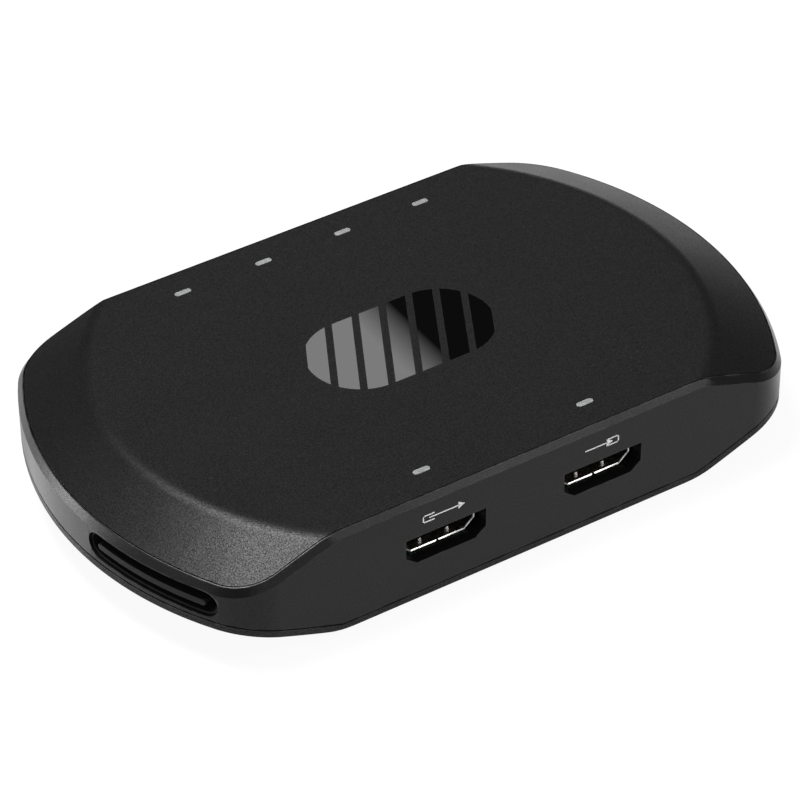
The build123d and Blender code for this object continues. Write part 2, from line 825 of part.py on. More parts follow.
power_leaf_drop = sqrt((power_bore / 2) ** 2 - (power_leaf_width / 2) ** 2)
with BuildPart() as power_jack_leaf:
    with BuildSketch(nose.offset(-power_bore_depth)):
        with Locations((0, -power_leaf_drop)):
            Rectangle(power_leaf_width, power_leaf_thickness, align=(Align.CENTER, Align.MIN))
    extrude(amount=power_leaf_length)
power_jack_leaf.part.label = "power_jack_leaf"
export_step(power_jack_leaf.part, "parts/power_jack_leaf.step")

# Small data socket: a round-ended shell around a thin tongue with contacts on both faces
small_mouth = back_plane(small_x, back_front, small_level)
small_inner_depth = small_depth - small_sheet
with BuildPart() as small_data_shell:
    with BuildSketch(small_mouth):
        SlotOverall(small_width, small_height)
    extrude(amount=-small_depth)
    with BuildSketch(small_mouth):
        SlotOverall(small_width - 2 * small_sheet, small_height - 2 * small_sheet)
    extrude(amount=-small_inner_depth, mode=Mode.SUBTRACT)
small_data_shell.part.label = "small_data_shell"
export_step(small_data_shell.part, "parts/small_data_shell.step")

with BuildPart() as small_data_tongue:
    with BuildSketch(small_mouth.offset(-small_inner_depth)):
        SlotOverall(small_width - 2 * small_sheet, small_height - 2 * small_sheet)
    extrude(amount=small_inner_depth - small_tongue_reach - small_sheet)
    with BuildSketch(small_mouth.offset(-small_inner_depth)):
        Rectangle(small_tongue_width, small_tongue_thickness)
    extrude(amount=small_inner_depth - small_sheet)
small_data_tongue.part.label = "small_data_tongue"
export_step(small_data_tongue.part, "parts/small_data_tongue.step")

small_contact_y = back_front - small_sheet - small_tongue_reach + small_contact_length / 2
with BuildPart() as small_data_contacts:
    for turn in ends:
        with BuildSketch(Plane.XY.offset(small_level + turn * small_tongue_thickness / 2)):
            with Locations((small_x, small_contact_y)):
                with GridLocations(small_contact_pitch, small_contact_length, small_contact_count, 1):
                    Rectangle(small_contact_width, small_contact_length)
        extrude(amount=turn * small_contact_thickness)
small_data_contacts.part.label = "small_data_contacts"
export_step(small_data_contacts.part, "parts/small_data_contacts.step")

# Data socket: a square-cornered shell around a thick tongue with contacts on its lower face
data_mouth = back_plane(data_x, back_front, data_level)
data_inner_depth = data_depth - data_sheet
with BuildPart() as data_shell:
    with BuildSketch(data_mouth):
        RectangleRounded(data_width, data_height, data_corner)
    extrude(amount=-data_depth)
    with BuildSketch(data_mouth):
        Rectangle(data_width - 2 * data_sheet, data_height - 2 * data_sheet)
    extrude(amount=-data_inner_depth, mode=Mode.SUBTRACT)
data_shell.part.label = "data_shell"
export_step(data_shell.part, "parts/data_shell.step")

with BuildPart() as data_tongue:
    with BuildSketch(data_mouth.offset(-data_inner_depth)):
        Rectangle(data_width - 2 * data_sheet, data_height - 2 * data_sheet)
    extrude(amount=data_inner_depth - data_tongue_reach - data_sheet)
    with BuildSketch(data_mouth.offset(-data_inner_depth)):
        with Locations((0, data_tongue_rise)):
            Rectangle(data_tongue_width, data_tongue_thickness)
    extrude(amount=data_inner_depth - data_sheet)
data_tongue.part.label = "data_tongue"
export_step(data_tongue.part, "parts/data_tongue.step")

with BuildPart() as data_contacts:
    with BuildSketch(Plane.XY.offset(data_level + data_tongue_rise - data_tongue_thickness / 2)):
        with Locations((data_x, back_front - data_sheet - data_tongue_reach + data_contact_length / 2)):
            with GridLocations(data_contact_pitch, data_contact_length, data_contact_count, 1):
                Rectangle(data_contact_width, data_contact_length)
    extrude(amount=-data_contact_thickness)
data_contacts.part.label = "data_contacts"
export_step(data_contacts.part, "parts/data_contacts.step")

# Network socket: a metal can sunk into the board's notch, with tabs that rest on the board
network_mouth = back_plane(network_x, back_front, network_level)
network_cavity_level = network_mouth_rise - network_height / 2 + network_mouth_height / 2
network_key_level = network_mouth_rise - network_height / 2 - network_key_height / 2
with BuildPart() as network_shell:
    with BuildSketch(network_mouth):
        Rectangle(network_width, network_height)
    extrude(amount=-network_depth)
    with BuildSketch(network_mouth.offset(-network_sheet)):
        Rectangle(network_width - 2 * network_sheet, network_height - 2 * network_sheet)
    extrude(amount=2 * network_sheet - network_depth, mode=Mode.SUBTRACT)
    with BuildSketch(network_mouth):
        with Locations((0, network_cavity_level)):
            Rectangle(network_mouth_width, network_mouth_height)
        with Locations((0, network_key_level)):
            Rectangle(network_key_width, network_key_height)
    extrude(amount=-2 * network_sheet, mode=Mode.SUBTRACT)
    with BuildSketch(Plane.XY.offset(board_top)):
        with Locations((network_x, back_front - network_depth + network_tab_length / 2)):
            with GridLocations(network_width + network_tab_width, network_tab_length, 2, 1):
                Rectangle(network_tab_width, network_tab_length)
    extrude(amount=network_tab_thickness)
network_shell.part.label = "network_shell"
export_step(network_shell.part, "parts/network_shell.step")

with BuildPart() as network_insert:
    with BuildSketch(network_mouth.offset(-network_sheet)):
        Rectangle(network_width - 2 * network_sheet, network_height - 2 * network_sheet)
    extrude(amount=2 * network_sheet - network_depth)
    with BuildSketch(network_mouth):
        with Locations((0, network_cavity_level)):
            Rectangle(network_mouth_width, network_mouth_height)
        with Locations((0, network_key_level)):
            Rectangle(network_key_width, network_key_height)
    extrude(amount=-network_mouth_depth, mode=Mode.SUBTRACT)
network_insert.part.label = "network_insert"
export_step(network_insert.part, "parts/network_insert.step")

network_ceiling = network_floor + network_mouth_rise + network_mouth_height
network_row = (network_contact_count - 1) * network_contact_pitch
wire_end = network_contact_start + network_contact_length
with BuildPart() as network_contacts:
    for count in range(network_contact_count):
        wire_x = network_x - network_row / 2 + count * network_contact_pitch - network_contact_width / 2
        wire_side = Plane(origin=(wire_x, back_front, network_ceiling), x_dir=(0, 1, 0), z_dir=(1, 0, 0))
        with BuildSketch(wire_side):
            Polygon(
                (-network_contact_start, 0),
                (-network_contact_start, -network_contact_thickness),
                (-wire_end, -network_contact_slant - network_contact_thickness),
                (-wire_end, -network_contact_slant),
                (-network_contact_start - network_contact_thickness, 0),
                align=None,
            )
        extrude(amount=network_contact_width)
network_contacts.part.label = "network_contacts"
export_step(network_contacts.part, "parts/network_contacts.step")

# Push button: a round cap with a retaining flange behind the wall, and the switch that it presses
button_axis = back_plane(button_x, half_width, button_level)
flange_front = -frame_wall - button_flange_gap
flange_back = flange_front - button_flange_thickness
with BuildPart() as button_cap:
    with BuildSketch(button_axis.offset(button_proud)):
        Circle(button_diameter / 2)
    extrude(amount=flange_back - button_proud)
    with BuildSketch(button_axis.offset(flange_front)):
        Circle(button_diameter / 2 + button_flange)
    extrude(amount=-button_flange_thickness)
    chamfer(button_cap.faces().sort_by(Axis.Y)[-1].edges(), button_edge)
button_cap.part.label = "button_cap"
export_step(button_cap.part, "parts/button_cap.step")

with BuildPart() as switch_plunger:
    with BuildSketch(button_axis.offset(flange_back)):
        Rectangle(plunger_width, plunger_height)
    extrude(amount=-plunger_length)
switch_plunger.part.label = "switch_plunger"
export_step(switch_plunger.part, "parts/switch_plunger.step")

switch_front = flange_back - button_travel - switch_gap
with BuildPart() as switch_body:
    with BuildSketch(back_plane(button_x, half_width + switch_front, board_top + switch_height / 2)):
        Rectangle(switch_width, switch_height)
    extrude(amount=-switch_depth)
    with BuildSketch(button_axis.offset(switch_front)):
        Rectangle(plunger_width + 2 * plunger_fit, plunger_height + 2 * plunger_fit)
    extrude(amount=-plunger_length - switch_gap, mode=Mode.SUBTRACT)
switch_body.part.label = "switch_body"
export_step(switch_body.part, "parts/switch_body.step")

# Vent inserts: a duct with a flange behind the wall and one free-ended rib, held by webs at its back
duct_length = vent_length - 2 * vent_fit
duct_height = vent_height - 2 * vent_fit
rib_bar_length = vent_length - 2 * vent_rib_margin
mouth_length = duct_length - 2 * vent_border
mouth_height = duct_height - 2 * vent_border
flange_length = duct_length + 2 * vent_flange
flange_height = duct_height + 2 * vent_flange_rise
for name, side in (("left_vent_insert", -1), ("right_vent_insert", 1)):
    with BuildPart() as webs:
        with BuildSketch(vent_plane(side)):
            with GridLocations(vent_web_spacing, vent_height, vent_web_count, 1):
                Rectangle(vent_web_width, duct_height - vent_border)
        extrude(amount=2 * overrun, both=True)
        add(prism(vent_depth - vent_web_depth), mode=Mode.INTERSECT)
        add(prism(vent_depth), mode=Mode.SUBTRACT)
    mouth = vent_block(side, mouth_length, mouth_height, 0, frame_wall + overrun)
    with BuildPart() as vent_insert:
        add(vent_block(side, duct_length, duct_height, vent_recess, vent_depth))
        add(vent_block(side, flange_length, flange_height, frame_wall, frame_wall + vent_flange_thickness))
        add(mouth, mode=Mode.SUBTRACT)
        add(vent_block(side, rib_bar_length, vent_rib_height, vent_rib_recess, vent_depth))
        add(webs.part)
    vent_insert.part.label = name
    export_step(vent_insert.part, f"parts/{name}.step")

# Processor, its pad and a finned sink held down by two push pins
with BuildPart() as processor:
    with BuildSketch(Plane.XY.offset(board_top)):
        with Locations((processor_x, processor_y)):
            Rectangle(processor_side, processor_side)
    extrude(amount=processor_height)
processor.part.label = "processor"
export_step(processor.part, "parts/processor.step")

with BuildPart() as thermal_pad:
    with BuildSketch(Plane.XY.offset(board_top + processor_height)):
        with Locations((processor_x, processor_y)):
            Rectangle(processor_side, processor_side)
    extrude(amount=pad_thickness)
thermal_pad.part.label = "thermal_pad"
export_step(thermal_pad.part, "parts/thermal_pad.step")

fin_pitch = (sink_width - fin_thickness) / (fin_count - 1)
with BuildPart() as heat_sink:
    with BuildSketch(Plane.XY.offset(sink_floor)):
        with Locations((processor_x, processor_y)):
            Rectangle(sink_length, sink_width)
    extrude(amount=sink_base)
    with BuildSketch(Plane.XY.offset(sink_top)):
        with Locations((processor_x, processor_y)):
            with GridLocations(sink_length, fin_pitch, 1, fin_count):
                Rectangle(sink_length, fin_thickness)
        with Locations(pin_places):
            Rectangle(pin_head + 2 * pin_clear, pin_head + 2 * pin_clear, mode=Mode.SUBTRACT)
    extrude(amount=fin_height)
    with BuildSketch(Plane.XY.offset(sink_floor)):
        with Locations(pin_places):
            Circle(pin_diameter / 2 + pin_fit)
    extrude(amount=sink_base, mode=Mode.SUBTRACT)
heat_sink.part.label = "heat_sink"
export_step(heat_sink.part, "parts/heat_sink.step")

with BuildPart() as sink_pins:
    with BuildSketch(Plane.XY.offset(sink_top)):
        with Locations(pin_places):
            Circle(pin_head / 2)
    extrude(amount=pin_head_height)
    with BuildSketch(Plane.XY.offset(sink_top)):
        with Locations(pin_places):
            Circle(pin_diameter / 2)
    extrude(amount=board_floor - sink_top)
    with BuildSketch(Plane.XY.offset(board_floor)):
        with Locations(pin_places):
            Circle(pin_barb / 2)
    extrude(amount=-pin_barb_height, taper=pin_barb_taper)
sink_pins.part.label = "sink_pins"
export_step(sink_pins.part, "parts/sink_pins.step")

# Chips and other parts on the main board
with BuildPart() as memory_chips:
    with BuildSketch(Plane.XY.offset(board_top)):
        with Locations((memory_length_share * half_length, memory_y)):
            with GridLocations(memory_length, memory_width + memory_gap, 1, 2):
                Rectangle(memory_length, memory_width)
    extrude(amount=memory_height)
memory_chips.part.label = "memory_chips"
export_step(memory_chips.part, "parts/memory_chips.step")

with BuildPart() as storage_chip:
    with BuildSketch(Plane.XY.offset(board_top)):
        with Locations((-storage_length_share * half_length, storage_width_share * half_width)):
            Rectangle(storage_length, storage_width)
    extrude(amount=storage_height)
storage_chip.part.label = "storage_chip"
export_step(storage_chip.part, "parts/storage_chip.step")

for name, centre in (("video_out_chip", -video_spacing / 2), ("video_in_chip", video_spacing / 2)):
    with BuildPart() as video_chip:
        with BuildSketch(Plane.XY.offset(board_top)):
            with Locations((centre, video_chip_y)):
                Rectangle(video_chip_side, video_chip_side)
        extrude(amount=video_chip_height)
    video_chip.part.label = name
    export_step(video_chip.part, f"parts/{name}.step")

with BuildPart() as network_transformer:
    with BuildSketch(Plane.XY.offset(board_top)):
        with Locations((network_x, transformer_y)):
            Rectangle(transformer_length, transformer_width)
    extrude(amount=transformer_height)
network_transformer.part.label = "network_transformer"
export_step(network_transformer.part, "parts/network_transformer.step")

with BuildPart() as power_coils:
    with BuildSketch(Plane.XY.offset(board_top)):
        with Locations((-coil_length_share * half_length, 0)):
            with GridLocations(coil_side, coil_side + coil_gap, 1, 2):
                RectangleRounded(coil_side, coil_side, coil_round)
    extrude(amount=coil_height)
power_coils.part.label = "power_coils"
export_step(power_coils.part, "parts/power_coils.step")

capacitor_x = capacitor_length_share * half_length
with BuildPart() as capacitors:
    with BuildSketch(Plane.XY.offset(board_top)):
        with Locations((capacitor_x, 0)):
            with GridLocations(capacitor_diameter, capacitor_diameter + capacitor_gap, 1, 2):
                Circle(capacitor_diameter / 2)
    extrude(amount=capacitor_height)
    with BuildSketch(Plane.XY.offset(board_top + capacitor_groove_rise)):
        with Locations((capacitor_x, 0)):
            with GridLocations(capacitor_diameter, capacitor_diameter + capacitor_gap, 1, 2):
                Circle(capacitor_diameter / 2 + overrun)
                Circle(capacitor_diameter / 2 - capacitor_groove, mode=Mode.SUBTRACT)
    extrude(amount=capacitor_groove_width, mode=Mode.SUBTRACT)
capacitors.part.label = "capacitors"
export_step(capacitors.part, "parts/capacitors.step")

with BuildPart() as crystal:
    with BuildSketch(Plane.XY.offset(board_top)):
        with Locations((0, video_chip_y)):
            RectangleRounded(crystal_length, crystal_width, crystal_round)
    extrude(amount=crystal_height)
crystal.part.label = "crystal"
export_step(crystal.part, "parts/crystal.step")

# Lamp boards, their lamps, screws and the headers that join them to the main board
lamp_rows = (
    ("back", back_lamp_places, back_post_places, lamp_row, lamp_span),
    ("front", front_lamp_places, front_post_places, -lamp_row, front_lamp_spacing),
)
for name, lamps, posts, row, span in lamp_rows:
    with BuildPart() as lamp_board:
        with BuildSketch(Plane.XY.offset(lamp_board_floor)):
            with Locations((0, row)):
                Rectangle(span + 2 * lamp_board_margin, lamp_board_width)
            with Locations(posts):
                Circle(lamp_screw_diameter / 2 + screw_bite, mode=Mode.SUBTRACT)
        extrude(amount=lamp_board_thickness)
    lamp_board.part.label = f"{name}_lamp_board"
    export_step(lamp_board.part, f"parts/{name}_lamp_board.step")

    with BuildPart() as status_lamps:
        with BuildSketch(Plane.XY.offset(lamp_board_top)):
            with Locations(lamps):
                Rectangle(lamp_body_length, lamp_body_width)
        extrude(amount=lamp_body_height)
    status_lamps.part.label = f"{name}_status_lamps"
    export_step(status_lamps.part, f"parts/{name}_status_lamps.step")

with BuildPart() as lamp_board_screws:
    with BuildSketch(Plane.XY.offset(lamp_board_floor)):
        with Locations(back_post_places + front_post_places):
            Circle(lamp_screw_head / 2)
    extrude(amount=-lamp_screw_head_height)
    with BuildSketch(Plane.XY.offset(lamp_board_floor)):
        with Locations(back_post_places + front_post_places):
            Circle(lamp_screw_diameter / 2)
    extrude(amount=lamp_screw_length)
lamp_board_screws.part.label = "lamp_board_screws"
export_step(lamp_board_screws.part, "parts/lamp_board_screws.step")

with BuildPart() as board_headers:
    with BuildSketch(Plane.XY.offset(board_top)):
        with Locations((header_x, header_row), (0, -header_row)):
            Rectangle(header_width, header_length)
    extrude(amount=lamp_board_floor - board_top)
board_headers.part.label = "board_headers"
export_step(board_headers.part, "parts/board_headers.step")
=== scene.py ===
"""Video capture box: soft-edged mouldings, finishes, printed marks, light and camera."""
import logging
from collections.abc import Callable, Iterator
from contextlib import contextmanager
from dataclasses import dataclass, field
from enum import Enum
from math import cos, pi, radians, sin
from typing import ClassVar

import bpy
from mathutils import Matrix, Vector


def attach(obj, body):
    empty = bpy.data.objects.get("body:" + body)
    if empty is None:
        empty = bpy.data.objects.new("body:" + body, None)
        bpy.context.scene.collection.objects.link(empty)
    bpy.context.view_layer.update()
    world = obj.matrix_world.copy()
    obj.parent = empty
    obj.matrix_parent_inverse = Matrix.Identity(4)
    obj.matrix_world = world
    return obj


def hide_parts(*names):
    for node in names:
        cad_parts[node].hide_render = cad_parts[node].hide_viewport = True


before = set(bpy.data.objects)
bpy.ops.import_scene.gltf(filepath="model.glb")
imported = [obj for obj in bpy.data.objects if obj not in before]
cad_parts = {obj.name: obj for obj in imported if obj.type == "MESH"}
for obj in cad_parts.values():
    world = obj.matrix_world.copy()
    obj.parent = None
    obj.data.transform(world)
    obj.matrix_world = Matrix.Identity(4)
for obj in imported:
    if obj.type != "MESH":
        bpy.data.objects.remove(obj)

LOG = logging.getLogger("capture_box")
MM = 0.001
HOUSING = "housing"
LOW_CORNER = 0
HIGH_CORNER = 6
MERGE_GAP = 2e-6
FLAT_TURN = radians(0.4)
ROUNDED_TURN = radians(30)
SMOOTH_TURN = radians(35)
Colour = tuple[float, float, float, float]


class Flow(Enum):
    """Which way the picture runs through a video socket."""

    OUT = 1
    IN = -1


class Side(Enum):
    """An end of the box."""

    LEFT = -1
    RIGHT = 1


# Selecting and shaping


def select_only(piece: bpy.types.Object) -> None:
    """Makes one object the only selected and active one.

    Args:
        piece: The object to select.
    """
    bpy.ops.object.select_all(action="DESELECT")
    piece.select_set(True)
    bpy.context.view_layer.objects.active = piece


@contextmanager
def editing() -> Iterator[None]:
    """Works on the active object's mesh in Edit Mode, then goes back.

    Returns:
        A context that yields nothing.
    """
    bpy.ops.object.mode_set(mode="EDIT")
    yield
    bpy.ops.object.mode_set(mode="OBJECT")


def settle(piece: bpy.types.Object) -> bpy.types.Object:
    """Moves an object's place, turn and size into its mesh.

    Args:
        piece: A mesh object.

    Returns:
        The same object, now at the origin, unturned and unscaled.
    """
    bpy.context.view_layer.update()
    piece.data.transform(piece.matrix_world)
    piece.matrix_world = Matrix.Identity(4)
    return piece


def corners(piece: bpy.types.Object) -> tuple[Vector, Vector]:
    """Gives the two far corners of an object's own box.

    Args:
        piece: The object.

    Returns:
        The lowest and the highest corner.
    """
    box = piece.bound_box
    return Vector(box[LOW_CORNER]), Vector(box[HIGH_CORNER])


def join(pieces: list[bpy.types.Object], name: str) -> bpy.types.Object:
    """Joins objects into the first of them.

    Args:
        pieces: The objects.
        name: Name of the result.

    Returns:
        The joined object.
    """
    select_only(pieces[0])
    for piece in pieces[1:]:
        piece.select_set(True)
    bpy.ops.object.join()
    joined = bpy.context.active_object
    joined.name = name
    return joined


def finish_edges(piece: bpy.types.Object, radius: float, segments: int) -> None:
    """Rounds an object's edges with modifiers and applies them.

    Args:
        piece: The mesh object.
        radius: Width of the rounding in metres, which the mesh's short edges narrow.
        segments: Faces across a rounded edge.
    """
    select_only(piece)
    soften = piece.modifiers.new("round", "BEVEL")
    soften.width = radius
    soften.segments = segments
    soften.limit_method = "ANGLE"
    soften.angle_limit = ROUNDED_TURN
    soften.harden_normals = False
    soften.miter_outer = "MITER_ARC"
    bpy.ops.object.modifier_apply(modifier=soften.name)
    bpy.ops.object.shade_smooth_by_angle(angle=SMOOTH_TURN)
    weigh = piece.modifiers.new("weigh", "WEIGHTED_NORMAL")
    weigh.keep_sharp = True
    bpy.ops.object.modifier_apply(modifier=weigh.name)


@dataclass(frozen=True)
class SoftCopy:
    """A copy of a CAD node with rounded edges, dressed and put in place of the node."""

    node: str
    radius: float
    suffix: str
    slot: str
    finish: str
    segments: int = 2
    shape: Callable[[bpy.types.Object], None] | None = None

    def build(self) -> bpy.types.Object:
        """Makes the copy.

        Returns:
            The copy.
        """
        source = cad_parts[self.node]
        piece = bpy.data.objects.new(f"{self.node}_{self.suffix}", source.data.copy())
        bpy.context.scene.collection.objects.link(piece)
        select_only(piece)
        if piece.data.has_custom_normals:
            bpy.ops.mesh.customdata_custom_splitnormals_clear()
        with editing():
            bpy.ops.mesh.select_all(action="SELECT")
            bpy.ops.mesh.remove_doubles(threshold=MERGE_GAP)
            bpy.ops.mesh.dissolve_limited(angle_limit=FLAT_TURN)
        if self.shape is not None:
            self.shape(piece)
        finish_edges(piece, self.radius, self.segments)
        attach(piece, HOUSING)
        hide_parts(self.node)
        dress(piece, FINISHES[self.finish])
        return piece


# Shader node helpers


class Graph:
    """A node tree with short calls to add and join its nodes."""

    # A Mix node's sockets for colours, and those for numbers.
    MIX_INPUTS: ClassVar[tuple[int, ...]] = (0, 6, 7)
    MIX_RESULT: ClassVar[int] = 2
    BLEND_INPUTS: ClassVar[tuple[int, ...]] = (0, 2, 3)

    def __init__(self, tree: bpy.types.NodeTree) -> None:
        """Keeps the tree to work on.

        Args:
            tree: A material's, group's or world's node tree.
        """
        self.tree = tree

    def feed(self, node: bpy.types.Node, inputs: dict) -> None:
        """Sets or joins a node's inputs.

        Args:
            node: The node.
            inputs: Socket name or number to a value, or to an output socket to join.
        """
        for key, value in inputs.items():
            if isinstance(value, bpy.types.NodeSocket):
                self.tree.links.new(value, node.inputs[key])
            else:
                node.inputs[key].default_value = value

    def node(self, kind: str, inputs: dict | None = None, **settings: object) -> bpy.types.Node:
        """Adds a node.

        Args:
            kind: Node type without its ShaderNode prefix, or a whole type name.
            inputs: Socket name or number to a value, or to an output socket to join.
            **settings: Attributes of the node.

        Returns:
            The new node.
        """
        made = self.tree.nodes.new(kind if kind.startswith("Node") else f"ShaderNode{kind}")
        for name, value in settings.items():
            setattr(made, name, value)
        self.feed(made, inputs or {})
        return made

    def place(self) -> bpy.types.NodeSocket:
        """Adds the object's own coordinates.

        Returns:
            Their socket.
        """
        return self.node("TexCoord").outputs["Object"]

    def math(self, operation: str, *values: object, clamp: bool = False) -> bpy.types.NodeSocket:
        """Adds a Math node.

        Args:
            operation: Its operation.
            *values: Numbers or output sockets for its inputs, in order.
            clamp: Whether the result is kept from 0 to 1.

        Returns:
            The result's socket.
        """
        made = self.node("Math", dict(enumerate(values)), operation=operation, use_clamp=clamp)
        return made.outputs[0]

    def mix(self, factor: object, low: object, high: object) -> bpy.types.NodeSocket:
        """Adds a colour mix.

        Args:
            factor: Share of the second colour, a number or a socket.
            low: First colour or socket.
            high: Second colour or socket.

        Returns:
            The mixed colour's socket.
        """
        inputs = dict(zip(self.MIX_INPUTS, (factor, low, high)))
        return self.node("Mix", inputs, data_type="RGBA").outputs[self.MIX_RESULT]

    def blend(self, factor: object, low: object, high: object) -> bpy.types.NodeSocket:
        """Adds a mix of two numbers.

        Args:
            factor: Share of the second number, a number or a socket.
            low: First number or socket.
            high: Second number or socket.

        Returns:
            The result's socket.
        """
        inputs = dict(zip(self.BLEND_INPUTS, (factor, low, high)))
        return self.node("Mix", inputs, data_type="FLOAT").outputs[0]

    def ramp(
        self,
        value: bpy.types.NodeSocket,
        low: float = 0.0,
        high: float = 1.0,
        start: float = 0.0,
        end: float = 1.0,
    ) -> bpy.types.NodeSocket:
        """Adds a Map Range node that keeps to its range.

        Args:
            value: Socket to map.
            low: Value that gives start.
            high: Value that gives end.
            start: First result.
            end: Last result.

        Returns:
            The result's socket.
        """
        names = ("Value", "From Min", "From Max", "To Min", "To Max")
        sockets = dict(zip(names, (value, low, high, start, end)))
        return self.node("MapRange", sockets, clamp=True).outputs[0]

    def noise(
        self, place: bpy.types.NodeSocket, scale: object, detail: float, **inputs: float
    ) -> bpy.types.NodeSocket:
        """Adds a noise texture.

        Args:
            place: Coordinates to read it at.
            scale: Its scale, a number or a socket.
            detail: Its detail.
            **inputs: Other inputs by name.

        Returns:
            The socket of its values.
        """
        sockets = {"Vector": place, "Scale": scale, "Detail": detail, **inputs}
        return self.node("TexNoise", sockets).outputs["Fac"]

    def bump(
        self, height: bpy.types.NodeSocket, strength: float, distance: float
    ) -> bpy.types.NodeSocket:
        """Adds a Bump node.

        Args:
            height: Socket of the heights.
            strength: Its strength.
            distance: Height in metres of a value of 1.

        Returns:
            The normal's socket.
        """
        inputs = {"Height": height, "Strength": strength, "Distance": distance}
        return self.node("Bump", inputs).outputs["Normal"]


class Group(Graph):
    """A shader node group in the making."""

    def __init__(self, name: str, inputs: dict[str, float], outputs: tuple[str, ...]) -> None:
        """Starts the group.

        Args:
            name: Name of the group.
            inputs: Input name to its starting number.
            outputs: Names of the number outputs.
        """
        super().__init__(bpy.data.node_groups.new(name, "ShaderNodeTree"))
        face = self.tree.interface
        for label, value in inputs.items():
            socket = face.new_socket(label, in_out="INPUT", socket_type="NodeSocketFloat")
            socket.default_value = value
        for label in outputs:
            face.new_socket(label, in_out="OUTPUT", socket_type="NodeSocketFloat")
        self.given = self.node("NodeGroupInput").outputs
        self.result = self.node("NodeGroupOutput")


def mould_grain_group() -> bpy.types.NodeTree:
    """Builds the fine spark-eroded grain of moulded plastic.

    Returns:
        A group that takes the grain's size in metres and gives its height, flecks, slow clouding
        and sparkle.
    """
    group = Group("mould_grain", {"Size": 0.0003}, ("Height", "Fleck", "Cloud", "Spark"))
    place = group.place()
    scale = group.math("DIVIDE", 1.0, group.given["Size"])
    pebbles = group.node("TexVoronoi", {"Vector": place, "Scale": scale}, feature="SMOOTH_F1")
    group.feed(pebbles, {"Smoothness": 0.6})
    low_pebbles = group.math("MULTIPLY", pebbles.outputs["Distance"], 0.55)
    rough = group.noise(place, scale=group.math("MULTIPLY", scale, 0.8), detail=3.0)
    fine = group.noise(place, scale=group.math("MULTIPLY", scale, 1.1), detail=1.0)
    slow = group.noise(place, scale=45.0, detail=3.0, Roughness=0.55)
    glint = group.noise(place, scale=group.math("MULTIPLY", scale, 0.85), detail=2.0)
    results = {
        "Height": group.math("ADD", low_pebbles, rough),
        "Fleck": group.ramp(fine, low=0.5, high=0.72),
        "Cloud": group.ramp(slow, low=0.3, high=0.7),
        "Spark": group.ramp(glint, low=0.36, high=0.64),
    }
    group.feed(group.result, results)
    return group.tree


def edge_wear_and_highlight_group() -> bpy.types.NodeTree:
    """Builds the pale look of outer edges: scuffing, and a painted highlight where a finish sets
    it high.

    Returns:
        A group that takes the width of the pale edges in metres and gives their mask, broken up
        by noise; the mask stands for scuffing and for painted highlights alike.
    """
    group = Group("edge_wear", {"Width": 0.0004}, ("Mask",))
    around = group.node("Bevel", {"Radius": group.given["Width"]}, samples=4).outputs[0]
    flat = group.node("NewGeometry").outputs["Normal"]
    turn = group.node("VectorMath", {0: around, 1: flat}, operation="DOT_PRODUCT")
    bend = group.ramp(turn.outputs["Value"], low=0.99, high=0.8)
    patches = group.noise(group.place(), scale=380.0, detail=4.0)
    broken = group.ramp(patches, low=0.42, high=0.66)
    group.feed(group.result, {"Mask": group.math("MULTIPLY", bend, broken, clamp=True)})
    return group.tree


def dust_group() -> bpy.types.NodeTree:
    """Builds a thin fall of dust on faces that look up.

    Returns:
        A group that takes the amount of dust and gives a mask of its specks.
    """
    group = Group("fallen_dust", {"Amount": 0.3}, ("Mask",))
    place = group.place()
    facing = group.node("SeparateXYZ", {0: group.node("NewGeometry").outputs["Normal"]})
    upward = group.ramp(facing.outputs["Z"], low=0.3, high=0.95)
    points = group.ramp(group.noise(place, scale=2100.0, detail=2.0), low=0.68, high=0.76)
    spread = group.ramp(group.noise(place, scale=60.0, detail=2.0), low=0.4, high=0.7)
    cover = group.math("MULTIPLY", points, spread)
    amount = group.math("MULTIPLY", cover, group.given["Amount"])
    group.feed(group.result, {"Mask": group.math("MULTIPLY", upward, amount, clamp=True)})
    return group.tree


def brushing_group() -> bpy.types.NodeTree:
    """Builds the drawn lines and stains of sheet metal.

    Returns:
        A group that takes how much the lines are stretched and gives their height and a mask of
        stains.
    """
    group = Group("drawn_lines", {"Stretch": 12.0}, ("Lines", "Stain"))
    place = group.place()
    stretch = group.given["Stretch"]
    scales = group.node("CombineXYZ", {"X": 1.0, "Y": stretch, "Z": stretch}).outputs[0]
    along = group.node("VectorMath", {0: place, 1: scales}, operation="MULTIPLY").outputs[0]
    lines = group.noise(along, scale=900.0, detail=3.0)
    stain = group.ramp(group.noise(place, scale=500.0, detail=4.0), low=0.45, high=0.7)
    group.feed(group.result, {"Lines": lines, "Stain": stain})
    return group.tree


def grey(level: float, warmth: float = 0.0) -> Colour:
    """Gives a near-grey colour.

    Args:
        level: Its linear level.
        warmth: How much red is added and blue taken away.

    Returns:
        Red, green, blue and alpha.
    """
    return (level * (1 + warmth), level, level * (1 - warmth), 1.0)


def shaded(colour: Colour, gain: float, lift: float = 0.0, most: float = 1.0) -> Colour:
    """Makes a colour lighter or darker.

    Args:
        colour: The colour.
        gain: What its channels are multiplied by.
        lift: What is then added to them.
        most: The highest level that a channel may reach.

    Returns:
        The new colour, opaque.
    """
    red, green, blue = (min(most, value * gain + lift) for value in colour[:3])
    return (red, green, blue, 1.0)


